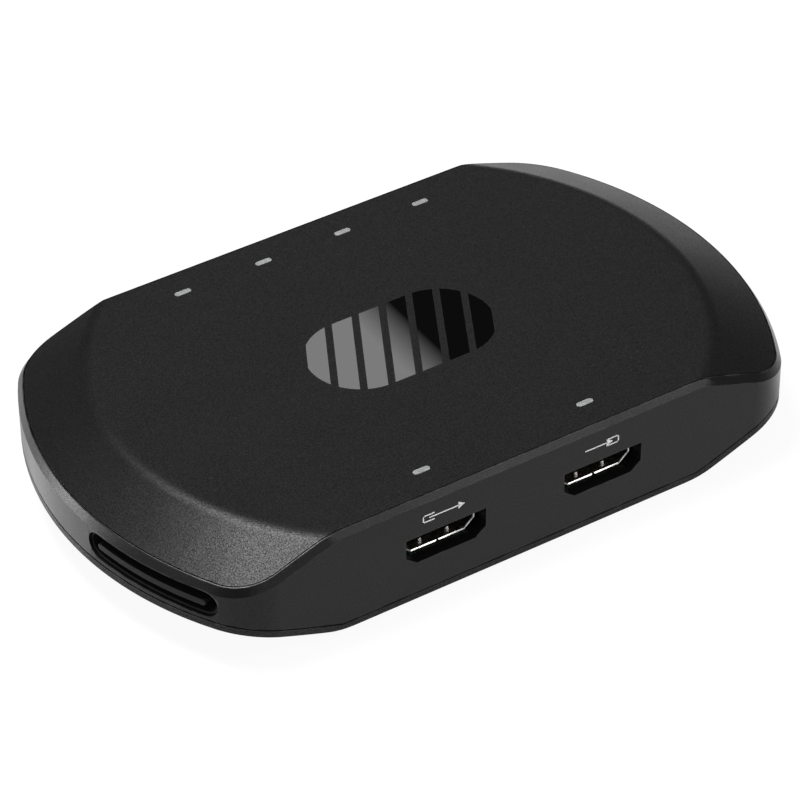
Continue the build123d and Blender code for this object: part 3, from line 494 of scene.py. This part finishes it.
@dataclass(frozen=True)
class MouldedPlastic:
    """Moulded plastic with grain, clouding, dust, and pale edges: scuffing, and a painted
    highlight where that share is set high.
    """

    name: str
    colour: Colour
    roughness: float
    grain: float = 0.0003
    depth: float = 0.35
    fleck: float = 0.12
    # Share of pale edges: scuffing, and at high values a painted highlight
    wear_and_highlight: float = 0.25
    dust: float = 0.0
    specular: float = 0.5
    spark: float = 0.2

    CLOUD_GAIN: ClassVar[float] = 0.86
    FLECK_GAIN: ClassVar[float] = 1.9
    FLECK_LIFT: ClassVar[float] = 0.01
    WEAR_AND_HIGHLIGHT_LIFT: ClassVar[float] = 0.03
    WORN_POLISH: ClassVar[float] = 0.08
    ROUGH_SWING: ClassVar[float] = 0.03
    DUST_COLOUR: ClassVar[Colour] = grey(0.32, 0.04)
    DUST_ROUGHNESS: ClassVar[float] = 0.3
    GRAIN_HEIGHT: ClassVar[float] = 0.16

    def build(self) -> bpy.types.Material:
        """Builds the material.

        Returns:
            The new material.
        """
        material, graph, shader = start_material(self.name)
        grain = graph.node("Group", node_tree=GROUPS["mould_grain"])
        graph.feed(grain, {"Size": self.grain})
        wear_and_highlight_mask = graph.node("Group", node_tree=GROUPS["edge_wear"]).outputs["Mask"]
        cloud, spark = grain.outputs["Cloud"], grain.outputs["Spark"]
        pale = shaded(self.colour, self.FLECK_GAIN, self.FLECK_LIFT)
        colour = graph.mix(cloud, shaded(self.colour, self.CLOUD_GAIN), self.colour)
        flecks = graph.math("MULTIPLY", grain.outputs["Fleck"], self.fleck)
        colour = graph.mix(flecks, colour, pale)
        # Pale edges: scuffing, and at a high share a painted highlight along the edge
        scuffed_and_highlit_share = graph.math("MULTIPLY", wear_and_highlight_mask, self.wear_and_highlight)
        bare = shaded(pale, gain=1.0, lift=self.WEAR_AND_HIGHLIGHT_LIFT, most=1.0 + self.WEAR_AND_HIGHLIGHT_LIFT)
        colour = graph.mix(scuffed_and_highlit_share, colour, bare)
        dull, matt = self.roughness - self.ROUGH_SWING, self.roughness + self.ROUGH_SWING
        rough = graph.ramp(cloud, start=dull, end=matt)
        rough = graph.math("SUBTRACT", rough, graph.math("MULTIPLY", wear_and_highlight_mask, self.WORN_POLISH))
        if self.dust > 0:
            group = graph.node("Group", {"Amount": self.dust}, node_tree=GROUPS["fallen_dust"])
            dust = group.outputs["Mask"]
            colour = graph.mix(dust, colour, self.DUST_COLOUR)
            dusty = graph.math("MULTIPLY", dust, self.DUST_ROUGHNESS)
            rough = graph.math("ADD", rough, dusty, clamp=True)
        least, most = self.specular * (1 - self.spark), self.specular * (1 + self.spark)
        relief = self.grain * self.GRAIN_HEIGHT
        looks = {
            "Base Color": colour,
            "Roughness": rough,
            "Normal": graph.bump(grain.outputs["Height"], self.depth, relief),
            "Specular IOR Level": graph.ramp(spark, start=least, end=most),
        }
        graph.feed(shader, looks)
        return material


@dataclass(frozen=True)
class SheetMetal:
    """Bare or plated metal with drawn lines and faint stains."""

    name: str
    colour: Colour
    roughness: float
    stain: Colour
    stretch: float = 12.0
    depth: float = 0.15

    STAIN_SHARE: ClassVar[float] = 0.35
    POLISHED: ClassVar[float] = 0.05
    DULLED: ClassVar[float] = 0.08
    LINE_HEIGHT: ClassVar[float] = 0.02 * MM

    def build(self) -> bpy.types.Material:
        """Builds the material.

        Returns:
            The new material.
        """
        material, graph, shader = start_material(self.name)
        drawn = graph.node("Group", {"Stretch": self.stretch}, node_tree=GROUPS["drawn_lines"])
        lines = drawn.outputs["Lines"]
        stained = graph.math("MULTIPLY", drawn.outputs["Stain"], self.STAIN_SHARE)
        least, most = self.roughness - self.POLISHED, self.roughness + self.DULLED
        looks = {
            "Base Color": graph.mix(stained, self.colour, self.stain),
            "Roughness": graph.ramp(lines, low=0.3, high=0.7, start=least, end=most),
            "Normal": graph.bump(lines, self.depth, self.LINE_HEIGHT),
            "Metallic": 1.0,
        }
        graph.feed(shader, looks)
        return material


@dataclass(frozen=True)
class BoardLaminate:
    """Lacquered circuit board with copper tracks under the lacquer and plated pads."""

    name: str
    lacquer: Colour
    track: Colour
    plating: Colour = (0.75, 0.62, 0.3, 1.0)

    PLATED_METALLIC: ClassVar[float] = 0.9
    TRACK_HEIGHT: ClassVar[float] = 0.03 * MM

    def build(self) -> bpy.types.Material:
        """Builds the material.

        Returns:
            The new material.
        """
        material, graph, shader = start_material(self.name)
        place = graph.place()
        cells = graph.node(
            "TexVoronoi", {"Vector": place, "Scale": 260.0}, feature="F1", distance="CHEBYCHEV"
        )
        waves = {"Vector": place, "Scale": 420.0, "Distortion": 0.0}
        tracks = graph.node("TexWave", waves, bands_direction="DIAGONAL")
        lanes = graph.ramp(tracks.outputs["Fac"], low=0.55, high=0.6)
        bundles = graph.ramp(cells.outputs["Distance"], low=0.3, high=0.32)
        routed = graph.math("MULTIPLY", lanes, bundles)
        vias = graph.node("TexVoronoi", {"Vector": place, "Scale": 480.0}, feature="F1")
        plated = graph.ramp(vias.outputs["Distance"], low=0.14, high=0.1)
        colour = graph.mix(routed, self.lacquer, self.track)
        looks = {
            "Base Color": graph.mix(plated, colour, self.plating),
            "Metallic": graph.math("MULTIPLY", plated, self.PLATED_METALLIC),
            "Roughness": graph.ramp(routed, start=0.36, end=0.28),
            "Normal": graph.bump(routed, strength=0.4, distance=self.TRACK_HEIGHT),
        }
        graph.feed(shader, looks)
        return material


@dataclass(frozen=True)
class MilkyResin:
    """Milky light-guide plastic, unlit, with faint swirls inside."""

    name: str
    colour: Colour
    core: Colour

    RIPPLE_HEIGHT: ClassVar[float] = 0.03 * MM
    SCATTER_DEPTH: ClassVar[float] = 1.0 * MM

    def build(self) -> bpy.types.Material:
        """Builds the material.

        Returns:
            The new material.
        """
        material, graph, shader = start_material(self.name)
        place = graph.place()
        currents = graph.noise(place, scale=900.0, detail=3.0, Distortion=0.6)
        swirl = graph.ramp(currents, low=0.35, high=0.65)
        ripple = graph.noise(place, scale=2600.0, detail=1.0)
        looks = {
            "Base Color": graph.mix(swirl, self.colour, self.core),
            "Roughness": graph.ramp(ripple, low=0.3, high=0.7, start=0.22, end=0.34),
            "Normal": graph.bump(ripple, strength=0.12, distance=self.RIPPLE_HEIGHT),
            "Subsurface Weight": 0.25,
            "Subsurface Scale": self.SCATTER_DEPTH,
            "Subsurface Radius": (1.0, 1.0, 1.0),
        }
        graph.feed(shader, looks)
        return material


@dataclass(frozen=True)
class GlossStripes:
    """Polished inlay that goes from a pale gloss to a deep tone along its length."""

    name: str
    pale: Colour
    deep: Colour
    reach: float = 4.0 * MM
    shine: float = 0.3

    SMEAR_HEIGHT: ClassVar[float] = 0.02 * MM

    def build(self) -> bpy.types.Material:
        """Builds the material.

        Returns:
            The new material.
        """
        material, graph, shader = start_material(self.name)
        place = graph.place()
        along = graph.node("SeparateXYZ", {0: place}).outputs["X"]
        share = graph.ramp(along, low=-self.reach, high=self.reach)
        haze = graph.noise(place, scale=240.0, detail=3.0)
        smears = graph.noise(place, scale=1400.0, detail=2.0)
        looks = {
            "Base Color": graph.mix(share, self.pale, self.deep),
            "Specular IOR Level": graph.ramp(share, start=self.shine, end=0.0),
            "Roughness": graph.ramp(haze, low=0.3, high=0.7, start=0.16, end=0.24),
            "Normal": graph.bump(smears, strength=0.05, distance=self.SMEAR_HEIGHT),
        }
        graph.feed(shader, looks)
        return material


@dataclass(frozen=True)
class PrintedInk:
    """Pad-printed ink, a little uneven in cover."""

    name: str
    colour: Colour

    THIN_GAIN: ClassVar[float] = 0.78

    def build(self) -> bpy.types.Material:
        """Builds the material.

        Returns:
            The new material.
        """
        material, graph, shader = start_material(self.name)
        cover = graph.noise(graph.place(), scale=5200.0, detail=2.0)
        full = graph.ramp(cover, low=0.35, high=0.6)
        looks = {
            "Base Color": graph.mix(full, shaded(self.colour, self.THIN_GAIN), self.colour),
            "Roughness": graph.ramp(cover, low=0.3, high=0.7, start=0.5, end=0.62),
        }
        graph.feed(shader, looks)
        return material


def start_material(name: str) -> tuple[bpy.types.Material, Graph, bpy.types.Node]:
    """Starts a material with a Principled shader joined to its output.

    Args:
        name: Name of the material.

    Returns:
        The material, its graph and the shader node.
    """
    material = bpy.data.materials.new(name)
    material.use_nodes = True
    material.node_tree.nodes.clear()
    graph = Graph(material.node_tree)
    shader = graph.node("BsdfPrincipled")
    graph.node("OutputMaterial", {"Surface": shader.outputs[0]})
    return material, graph, shader


def dress(piece: bpy.types.Object, material: bpy.types.Material) -> None:
    """Gives an object one material on every face.

    Args:
        piece: The mesh object.
        material: The material.
    """
    if not piece.material_slots:
        piece.data.materials.append(material)
    for holder in piece.material_slots:
        holder.material = material
    LOG.info("dressed %s in %s", piece.name, material.name)


def dress_nodes(finishes: dict[str, str]) -> None:
    """Gives CAD nodes their materials.

    Args:
        finishes: Name of each node to the name of its finish.
    """
    for node, finish in finishes.items():
        dress(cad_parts[node], FINISHES[finish])


GROUPS: dict[str, bpy.types.NodeTree] = {}
FINISHES: dict[str, bpy.types.Material] = {}

PALETTE = (
    MouldedPlastic(
        "cover_grain",
        grey(0.005, 0.01),
        roughness=0.34, grain=0.0002, depth=0.3, fleck=0.45, wear_and_highlight=0.2, dust=0.10, specular=0.155,
        spark=0.55,
    ),
    MouldedPlastic(
        "base_grain",
        grey(0.008, 0.01),
        # edge share set high paints a highlight line along the base's edges
        roughness=0.46, grain=0.00032, depth=0.9, fleck=0.2, wear_and_highlight=0.9, dust=0.0, specular=0.16,
        spark=0.4,
    ),
    MouldedPlastic(
        "frame_satin",
        grey(0.005, 0.01),
        # edge share set high paints a highlight line along the frame's edges
        roughness=0.32, grain=0.00022, depth=0.3, fleck=0.08, wear_and_highlight=0.9, dust=0.05, specular=0.19,
    ),
    MouldedPlastic(
        "vent_satin",
        grey(0.008),
        roughness=0.5, grain=0.00022, depth=0.3, fleck=0.05, wear_and_highlight=0.2, dust=0.0, specular=0.12,
    ),
    MouldedPlastic(
        "button_satin",
        grey(0.03),
        roughness=0.4, grain=0.0002, depth=0.3, fleck=0.08, wear_and_highlight=0.4,
    ),
    MouldedPlastic(
        "foot_rubber",
        grey(0.02),
        roughness=0.8, grain=0.0004, depth=0.8, fleck=0.2, wear_and_highlight=0.2, dust=0.5, specular=0.3,
    ),
    MouldedPlastic(
        "socket_nylon",
        grey(0.012),
        roughness=0.45, grain=0.00015, depth=0.4, fleck=0.1, wear_and_highlight=0.2,
    ),
    MouldedPlastic(
        "chip_resin",
        grey(0.02, 0.02),
        roughness=0.55, grain=0.00012, depth=0.5, fleck=0.25, wear_and_highlight=0.2,
    ),
    MouldedPlastic(
        "coil_ferrite",
        grey(0.07),
        roughness=0.6, grain=0.0002, depth=0.8, fleck=0.3, wear_and_highlight=0.4,
    ),
    MouldedPlastic(
        "pad_silicone",
        (0.3, 0.38, 0.45, 1.0),
        roughness=0.7, grain=0.0003, depth=0.4, fleck=0.1, wear_and_highlight=0.0,
    ),
    MouldedPlastic(
        "pin_nylon",
        grey(0.6, 0.03),
        roughness=0.5, grain=0.0002, depth=0.3, fleck=0.1, wear_and_highlight=0.1,
    ),
    MouldedPlastic(
        "lamp_resin",
        (0.75, 0.72, 0.5, 1.0),
        roughness=0.25, grain=0.0002, depth=0.1, fleck=0.1, wear_and_highlight=0.0,
    ),
    SheetMetal(
        "socket_tin", grey(0.62, 0.02), roughness=0.26, stain=grey(0.35, 0.05), stretch=10.0
    ),
    SheetMetal(
        "contact_gold",
        (0.83, 0.62, 0.24, 1.0),
        roughness=0.28, stain=(0.5, 0.36, 0.14, 1.0), stretch=8.0,
    ),
    SheetMetal("screw_zinc", grey(0.12), roughness=0.38, stain=grey(0.05), stretch=4.0),
    SheetMetal(
        "sink_anodised", grey(0.05), roughness=0.45, stain=grey(0.03), stretch=14.0, depth=0.3
    ),
    SheetMetal(
        "can_aluminium", grey(0.66), roughness=0.32, stain=grey(0.45), stretch=16.0, depth=0.25
    ),
    BoardLaminate("board_lacquer", (0.008, 0.035, 0.02, 1.0), track=(0.02, 0.09, 0.045, 1.0)),
    MilkyResin("light_guide", grey(0.17, -0.01), core=grey(0.24, -0.01)),
    GlossStripes("stripe_gloss", pale=grey(0.1), deep=grey(0.002)),
    PrintedInk("white_ink", grey(0.62)),
)


def mix_finishes() -> None:
    """Builds the shared node groups and every finish of the palette."""
    GROUPS["mould_grain"] = mould_grain_group()
    GROUPS["edge_wear"] = edge_wear_and_highlight_group()
    GROUPS["fallen_dust"] = dust_group()
    GROUPS["drawn_lines"] = brushing_group()
    for finish in PALETTE:
        FINISHES[finish.name] = finish.build()
        LOG.info("mixed finish %s", finish.name)


# Sub-assemblies


@dataclass
class Housing:
    """The three outer mouldings, with the soft edges that a mould leaves."""

    cover_edge: float = 0.14 * MM
    frame_edge: float = 0.12 * MM
    base_edge: float = 0.2 * MM

    def build(self) -> None:
        """Makes the soft-edged mouldings and dresses them."""
        mouldings = (
            ("top_cover", self.cover_edge, "cover_plastic", "cover_grain"),
            ("side_frame", self.frame_edge, "frame_plastic", "frame_satin"),
            ("bottom_cover", self.base_edge, "base_plastic", "base_grain"),
        )
        for node, edge, slot, finish in mouldings:
            SoftCopy(node, edge, "moulding", slot, finish).build()


@dataclass
class Vents:
    """The ducts in both ends, each with its rib."""

    edge: float = 0.12 * MM
    sides: tuple[Side, ...] = (Side.LEFT, Side.RIGHT)

    def build(self) -> None:
        """Makes the soft-edged ducts and dresses them."""
        for side in self.sides:
            node = f"{side.name.lower()}_vent_insert"
            SoftCopy(node, self.edge, "duct", "vent_plastic", "vent_satin").build()


@dataclass
class TopDetails:
    """What lies flush in the top: lamp windows and the slanted stripes."""

    window_edge: float = 0.08 * MM

    def build(self) -> None:
        """Makes the soft-edged windows and dresses them and the stripes."""
        for row in ("back", "front"):
            node = f"{row}_light_pipes"
            SoftCopy(node, self.window_edge, "windows", "light_pipe", "light_guide").build()
        dress_nodes({"top_inlay": "stripe_gloss"})


@dataclass
class FlowMark:
    """A printed sign over a video socket: a small screen and an arrow leaving or entering it."""

    flow: Flow
    centre_x: float
    length: float
    level: float = 17.1 * MM
    height: float = 1.55 * MM
    wall: float = -38.05 * MM
    line: float = 0.24 * MM
    head: float = 1.25 * MM
    screen: float = 2.3 * MM
    overlap: float = 0.55
    ink: float = 0.02 * MM

    def bar(
        self, name: str, left: float, low: float, width: float, height: float
    ) -> bpy.types.Object:
        """Makes one printed bar that stands just proud of the wall.

        Args:
            name: Name of the object.
            left: Its left edge, from the sign's left end.
            low: Its lower edge, from the sign's middle height.
            width: Its width along X.
            height: Its height.

        Returns:
            The new object.
        """
        middle = self.centre_x - self.length / 2 + left + width / 2
        place = Vector((middle, self.wall, self.level + low + height / 2))
        bpy.ops.mesh.primitive_plane_add(size=1.0, location=place, rotation=(pi / 2, 0, 0))
        piece = bpy.context.active_object
        piece.name = name
        piece.scale = (width, height, 1.0)
        with editing():
            bpy.ops.mesh.select_all(action="SELECT")
            bpy.ops.mesh.extrude_region_move(TRANSFORM_OT_translate={"value": (0, -self.ink, 0)})
        return settle(piece)

    def arrow_head(self, name: str, left: float) -> bpy.types.Object:
        """Makes the arrow's head, pointing to +X.

        Args:
            name: Name of the object.
            left: Its flat back edge, from the sign's left end.

        Returns:
            The new object.
        """
        # A triangle's centre lies a third of its height from its side.
        middle = self.centre_x - self.length / 2 + left + self.head / 3
        place = Vector((middle, self.wall - self.ink / 2, self.level))
        bpy.ops.mesh.primitive_cylinder_add(
            vertices=3, radius=self.head * 2 / 3, depth=self.ink, location=place
        )
        piece = bpy.context.active_object
        piece.name = name
        turn = Matrix.Rotation(pi / 2, 4, "X") @ Matrix.Rotation(-pi / 2, 4, "Z")
        piece.matrix_world = Matrix.Translation(place) @ turn
        return settle(piece)

    def build(self) -> bpy.types.Object:
        """Makes the sign as one printed piece and dresses it.

        Returns:
            The sign.
        """
        half = self.height / 2
        inside = self.screen * self.overlap
        if self.flow is Flow.OUT:
            start, shaft, reach = 0.0, inside, self.length - self.head
            outer = start
        else:
            start, shaft, reach = self.length - self.screen, 0.0, self.length - inside - self.head
            outer = start + self.screen - self.line
        parts = [
            self.bar("screen_low", start, -half, self.screen, self.line),
            self.bar("screen_high", start, half - self.line, self.screen, self.line),
            self.bar("shaft", shaft, -self.line / 2, reach - shaft + self.line, self.line),
            self.arrow_head("head", reach),
            self.bar("screen_side", outer, -half, self.line, self.height),
        ]
        sign = join(parts, f"video_{self.flow.name.lower()}_sign")
        with editing():
            bpy.ops.mesh.select_all(action="SELECT")
            bpy.ops.mesh.normals_make_consistent(inside=False)
        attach(sign, HOUSING)
        dress(sign, FINISHES["white_ink"])
        return sign


@dataclass
class Sockets:
    """Every socket of the box: shells with formed edges, tongues and plated contacts."""

    sheet_edge: float = 0.07 * MM
    rim_edge: float = 0.03 * MM
    body_edge: float = 0.12 * MM
    flare: float = 0.2 * MM
    sheet: float = 0.3 * MM
    dimple_spread: float = 5.4 * MM
    dimple_depth: float = 1.6 * MM
    dimple_size: float = 0.52 * MM
    dimple_rise: float = 0.22 * MM
    video: tuple[str, ...] = ("video_out", "video_in")
    shells: tuple[str, ...] = ("data", "small_data", "network")
    tongues: tuple[str, ...] = ("video_out", "video_in", "data", "small_data")
    blocks: tuple[str, ...] = ("network_insert", "power_jack_body")
    pins: tuple[str, ...] = ("power_jack_pin", "power_jack_leaf")

    LINING_TILT: ClassVar[float] = 0.5

    def flare_mouth(self, shell: bpy.types.Object) -> None:
        """Bevels the inner rim of a shell's mouth.

        Args:
            shell: The shell's merged copy, with its mouth towards -Y.
        """
        mesh = shell.data
        low, high = corners(shell)
        middle = (low + high) / 2
        lined = set()
        for face in mesh.polygons:
            inward = (middle - face.center).dot(face.normal) > 0
            if inward and abs(face.normal.y) < self.LINING_TILT:
                lined.update(face.edge_keys)
        with editing():
            bpy.ops.mesh.select_mode(type="EDGE")
            bpy.ops.mesh.select_all(action="DESELECT")
        mouth = low.y + self.rim_edge
        for edge in mesh.edges:
            at_mouth = all(mesh.vertices[index].co.y < mouth for index in edge.vertices)
            edge.select = at_mouth and edge.key in lined
        with editing():
            bpy.ops.mesh.bevel(offset=self.flare, segments=1, affect="EDGES")

    def add_dimples(self, name: str, shell: bpy.types.Object) -> None:
        """Makes the two raised spring tips on the floor of a video shell.

        Args:
            name: Name of the socket.
            shell: The shell's copy.
        """
        low, high = corners(shell)
        across = (low.x + high.x) / 2
        level = low.z + self.sheet + self.dimple_rise
        tips = []
        for aside in (-self.dimple_spread / 2, self.dimple_spread / 2):
            place = (across + aside, low.y + self.dimple_depth, level)
            bpy.ops.mesh.primitive_uv_sphere_add(
                segments=20, ring_count=12, radius=self.dimple_size, location=place
            )
            tips.append(settle(bpy.context.active_object))
        dimples = join(tips, f"{name}_dimples")
        bpy.ops.object.shade_smooth()
        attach(dimples, HOUSING)
        dress(dimples, FINISHES["socket_tin"])

    def build(self) -> None:
        """Makes the soft-edged socket pieces and dresses all."""
        metal = ("sheet", "socket_metal", "socket_tin")
        nylon = ("socket_plastic", "socket_nylon")
        for name in self.video:
            node = f"{name}_shell"
            shell = SoftCopy(
                node, self.rim_edge, *metal, segments=1, shape=self.flare_mouth
            ).build()
            self.add_dimples(name, shell)
        for name in self.shells:
            SoftCopy(f"{name}_shell", self.sheet_edge, *metal).build()
        for name in self.tongues:
            SoftCopy(f"{name}_tongue", self.sheet_edge, "bar", *nylon).build()
        for node in self.blocks:
            SoftCopy(node, self.body_edge, "block", *nylon).build()
        plated = [f"{name}_contacts" for name in self.video + self.shells]
        dress_nodes(dict.fromkeys([*plated, *self.pins], "contact_gold"))


@dataclass
class PushButton:
    """The button's cap with its plunger, and the switch behind it."""

    nodes: dict[str, str] = field(
        default_factory=lambda: {
            "button_cap": "button_satin",
            "switch_plunger": "pin_nylon",
            "switch_body": "socket_nylon",
        }
    )

    def build(self) -> None:
        """Dresses the button's nodes."""
        dress_nodes(self.nodes)


@dataclass
class Underside:
    """The rubber feet and the screws from below."""

    edge: float = 0.25 * MM
    feet: tuple[str, ...] = ("front_left", "front_right", "back_left", "back_right")
    screws: tuple[str, ...] = ("housing_screws", "board_screws", "lamp_board_screws")

    def build(self) -> None:
        """Makes the soft-edged feet and dresses the screws."""
        for name in self.feet:
            SoftCopy(
                f"foot_{name}", self.edge, "pad", "foot_rubber", "foot_rubber", segments=3
            ).build()
        dress_nodes(dict.fromkeys(self.screws, "screw_zinc"))


@dataclass
class Electronics:
    """The boards and all that they carry."""

    nodes: dict[str, str] = field(
        default_factory=lambda: {
            "main_board": "board_lacquer",
            "back_lamp_board": "board_lacquer",
            "front_lamp_board": "board_lacquer",
            "processor": "chip_resin",
            "memory_chips": "chip_resin",
            "storage_chip": "chip_resin",
            "video_out_chip": "chip_resin",
            "video_in_chip": "chip_resin",
            "network_transformer": "chip_resin",
            "power_coils": "coil_ferrite",
            "thermal_pad": "pad_silicone",
            "heat_sink": "sink_anodised",
            "sink_pins": "pin_nylon",
            "capacitors": "can_aluminium",
            "crystal": "can_aluminium",
            "back_status_lamps": "lamp_resin",
            "front_status_lamps": "lamp_resin",
            "board_headers": "socket_nylon",
        }
    )

    def build(self) -> None:
        """Dresses the boards and their parts."""
        dress_nodes(self.nodes)


@dataclass
class Softbox:
    """A flat lamp that looks at one point."""

    name: str
    place: tuple[float, float, float]
    size: tuple[float, float]
    power: float
    target: tuple[float, float, float] = (0.0, 0.0, 10.0 * MM)
    seen: bool = True

    def build(self) -> None:
        """Adds the lamp."""
        lamp = bpy.data.lights.new(self.name, "AREA")
        lamp.shape = "RECTANGLE"
        lamp.size, lamp.size_y = self.size
        lamp.energy = self.power
        holder = bpy.data.objects.new(self.name, lamp)
        bpy.context.scene.collection.objects.link(holder)
        aim = Vector(self.target) - Vector(self.place)
        holder.location = self.place
        holder.rotation_euler = aim.to_track_quat("-Z", "Y").to_euler()
        holder.visible_camera = self.seen
        LOG.info("lit %s", self.name)


@dataclass
class Studio:
    """Plain pale floor, white surroundings, soft lamps and the camera."""

    azimuth: float = radians(-32.4647)
    elevation: float = radians(38.4457)
    roll: float = radians(-0.4387)
    distance: float = 678.60 * MM
    lens: float = 177.94
    sensor: float = 36.0
    clip: tuple[float, float] = (0.01, 20.0)
    target: tuple[float, float, float] = (0.0, 0.0, 10.364 * MM)
    shift_right: float = 0.130 * MM
    shift_up: float = 1.905 * MM
    floor_size: float = 6.0
    floor_tone: float = 0.9
    floor_seen: float = 0.93
    floor_mirrored: float = 0.95
    surround: float = 0.35
    mirrored_room: float = 0.1
    lamps: tuple[Softbox, ...] = (
        Softbox("overhead_softbox", place=(-0.18, 0.15, 0.94), size=(0.25, 0.25), power=8.9),
        Softbox("overhead_back_softbox", place=(-0.13, 0.4, 0.86), size=(0.2, 0.2), power=2.5),
        Softbox("front_softbox", place=(0.39, -0.56, 0.59), size=(0.34, 0.34), power=1.9),
        Softbox("back_softbox", place=(0.38, 0.6, 0.56), size=(0.5, 0.5), power=0.34),
        Softbox("left_low_softbox", place=(-0.746, 0.66, 0.115), size=(0.3, 0.16), power=5.4),
        Softbox("left_high_softbox", place=(-0.95, 0.02, 0.33), size=(0.3, 0.3), power=0.45),
        Softbox("corner_softbox", place=(-0.17, -0.89, 0.42), size=(0.8, 0.3), power=1.0),
        Softbox(
            "left_table_glow",
            place=(-0.128, 0.075, 0.001),
            size=(0.13, 0.15),
            power=0.054,
            target=(-0.128, 0.075, 1.0),
            seen=False,
        ),
        Softbox(
            "right_table_glow",
            place=(0.1, 0.0, 0.001),
            size=(0.066, 0.12),
            power=0.012,
            target=(0.1, 0.0, 1.0),
            seen=False,
        ),
    )

    def build_world(self) -> None:
        """Makes the surroundings: white behind the object, dim where the object mirrors them."""
        world = bpy.data.worlds.new("white_room")
        world.use_nodes = True
        world.node_tree.nodes.clear()
        graph = Graph(world.node_tree)
        rays = graph.node("LightPath").outputs
        seen = graph.math("MAXIMUM", rays["Is Camera Ray"], rays["Is Transmission Ray"])
        room = graph.blend(rays["Is Glossy Ray"], self.surround, self.mirrored_room)
        strength = graph.blend(seen, room, 1.0)
        sky = graph.node("Background", {"Color": grey(1.0), "Strength": strength})
        graph.node("OutputWorld", {"Surface": sky.outputs[0]})
        bpy.context.scene.world = world

    def build_floor(self) -> None:
        """Makes the pale floor, which keeps a soft shadow."""
        bpy.ops.mesh.primitive_plane_add(size=self.floor_size, location=(0, 0, 0))
        floor = bpy.context.active_object
        floor.name = "floor"
        material = bpy.data.materials.new("pale_floor")
        material.use_nodes = True
        material.node_tree.nodes.clear()
        graph = Graph(material.node_tree)
        rays = graph.node("LightPath").outputs
        seen = graph.math("MULTIPLY", rays["Is Camera Ray"], self.floor_seen)
        mirrored = graph.math("MULTIPLY", rays["Is Glossy Ray"], self.floor_mirrored)
        matt = graph.node("BsdfDiffuse", {"Color": grey(self.floor_tone)}).outputs[0]
        glow = graph.node("Emission", {"Color": grey(1.0), "Strength": 1.0}).outputs[0]
        share = graph.math("MAXIMUM", seen, mirrored)
        both = graph.node("MixShader", {0: share, 1: matt, 2: glow})
        graph.node("OutputMaterial", {"Surface": both.outputs[0]})
        floor.data.materials.append(material)

    def build_camera(self) -> None:
        """Makes the camera at the photograph's viewing angle."""
        aside, ahead = sin(self.azimuth), cos(self.azimuth)
        rise, reach = sin(self.elevation), cos(self.elevation)
        back = Vector((aside * reach, -ahead * reach, rise))
        level = Vector((ahead, aside, 0.0))
        upright = back.cross(level)
        right = level * cos(self.roll) + upright * sin(self.roll)
        up = upright * cos(self.roll) - level * sin(self.roll)
        camera = bpy.data.cameras.new("photo_view")
        camera.lens = self.lens
        camera.sensor_width = self.sensor
        camera.clip_start, camera.clip_end = self.clip
        holder = bpy.data.objects.new("photo_view", camera)
        bpy.context.scene.collection.objects.link(holder)
        turn = Matrix((right, up, back)).transposed().to_4x4()
        place = Vector(self.target) + back * self.distance
        place = place - right * self.shift_right - up * self.shift_up
        holder.matrix_world = Matrix.Translation(place) @ turn
        bpy.context.scene.camera = holder

    def build(self) -> None:
        """Makes the surroundings, the floor, the lamps and the camera."""
        self.build_world()
        self.build_floor()
        for lamp in self.lamps:
            lamp.build()
        self.build_camera()
        bpy.context.scene.view_settings.view_transform = "Standard"


def main() -> None:
    """Builds the scene."""
    logging.basicConfig(level=logging.INFO, format="%(name)s: %(message)s")
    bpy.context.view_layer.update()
    bpy.ops.object.select_all(action="DESELECT")
    mix_finishes()
    assemblies = (
        Studio(),
        Housing(),
        Vents(),
        TopDetails(),
        Sockets(),
        PushButton(),
        Underside(),
        Electronics(),
        FlowMark(Flow.OUT, centre_x=-16.1 * MM, length=8.2 * MM),
        FlowMark(Flow.IN, centre_x=15.3 * MM, length=6.8 * MM),
    )
    for assembly in assemblies:
        assembly.build()
        LOG.info("built %s", type(assembly).__name__)


if __name__ == "__main__":
    main()
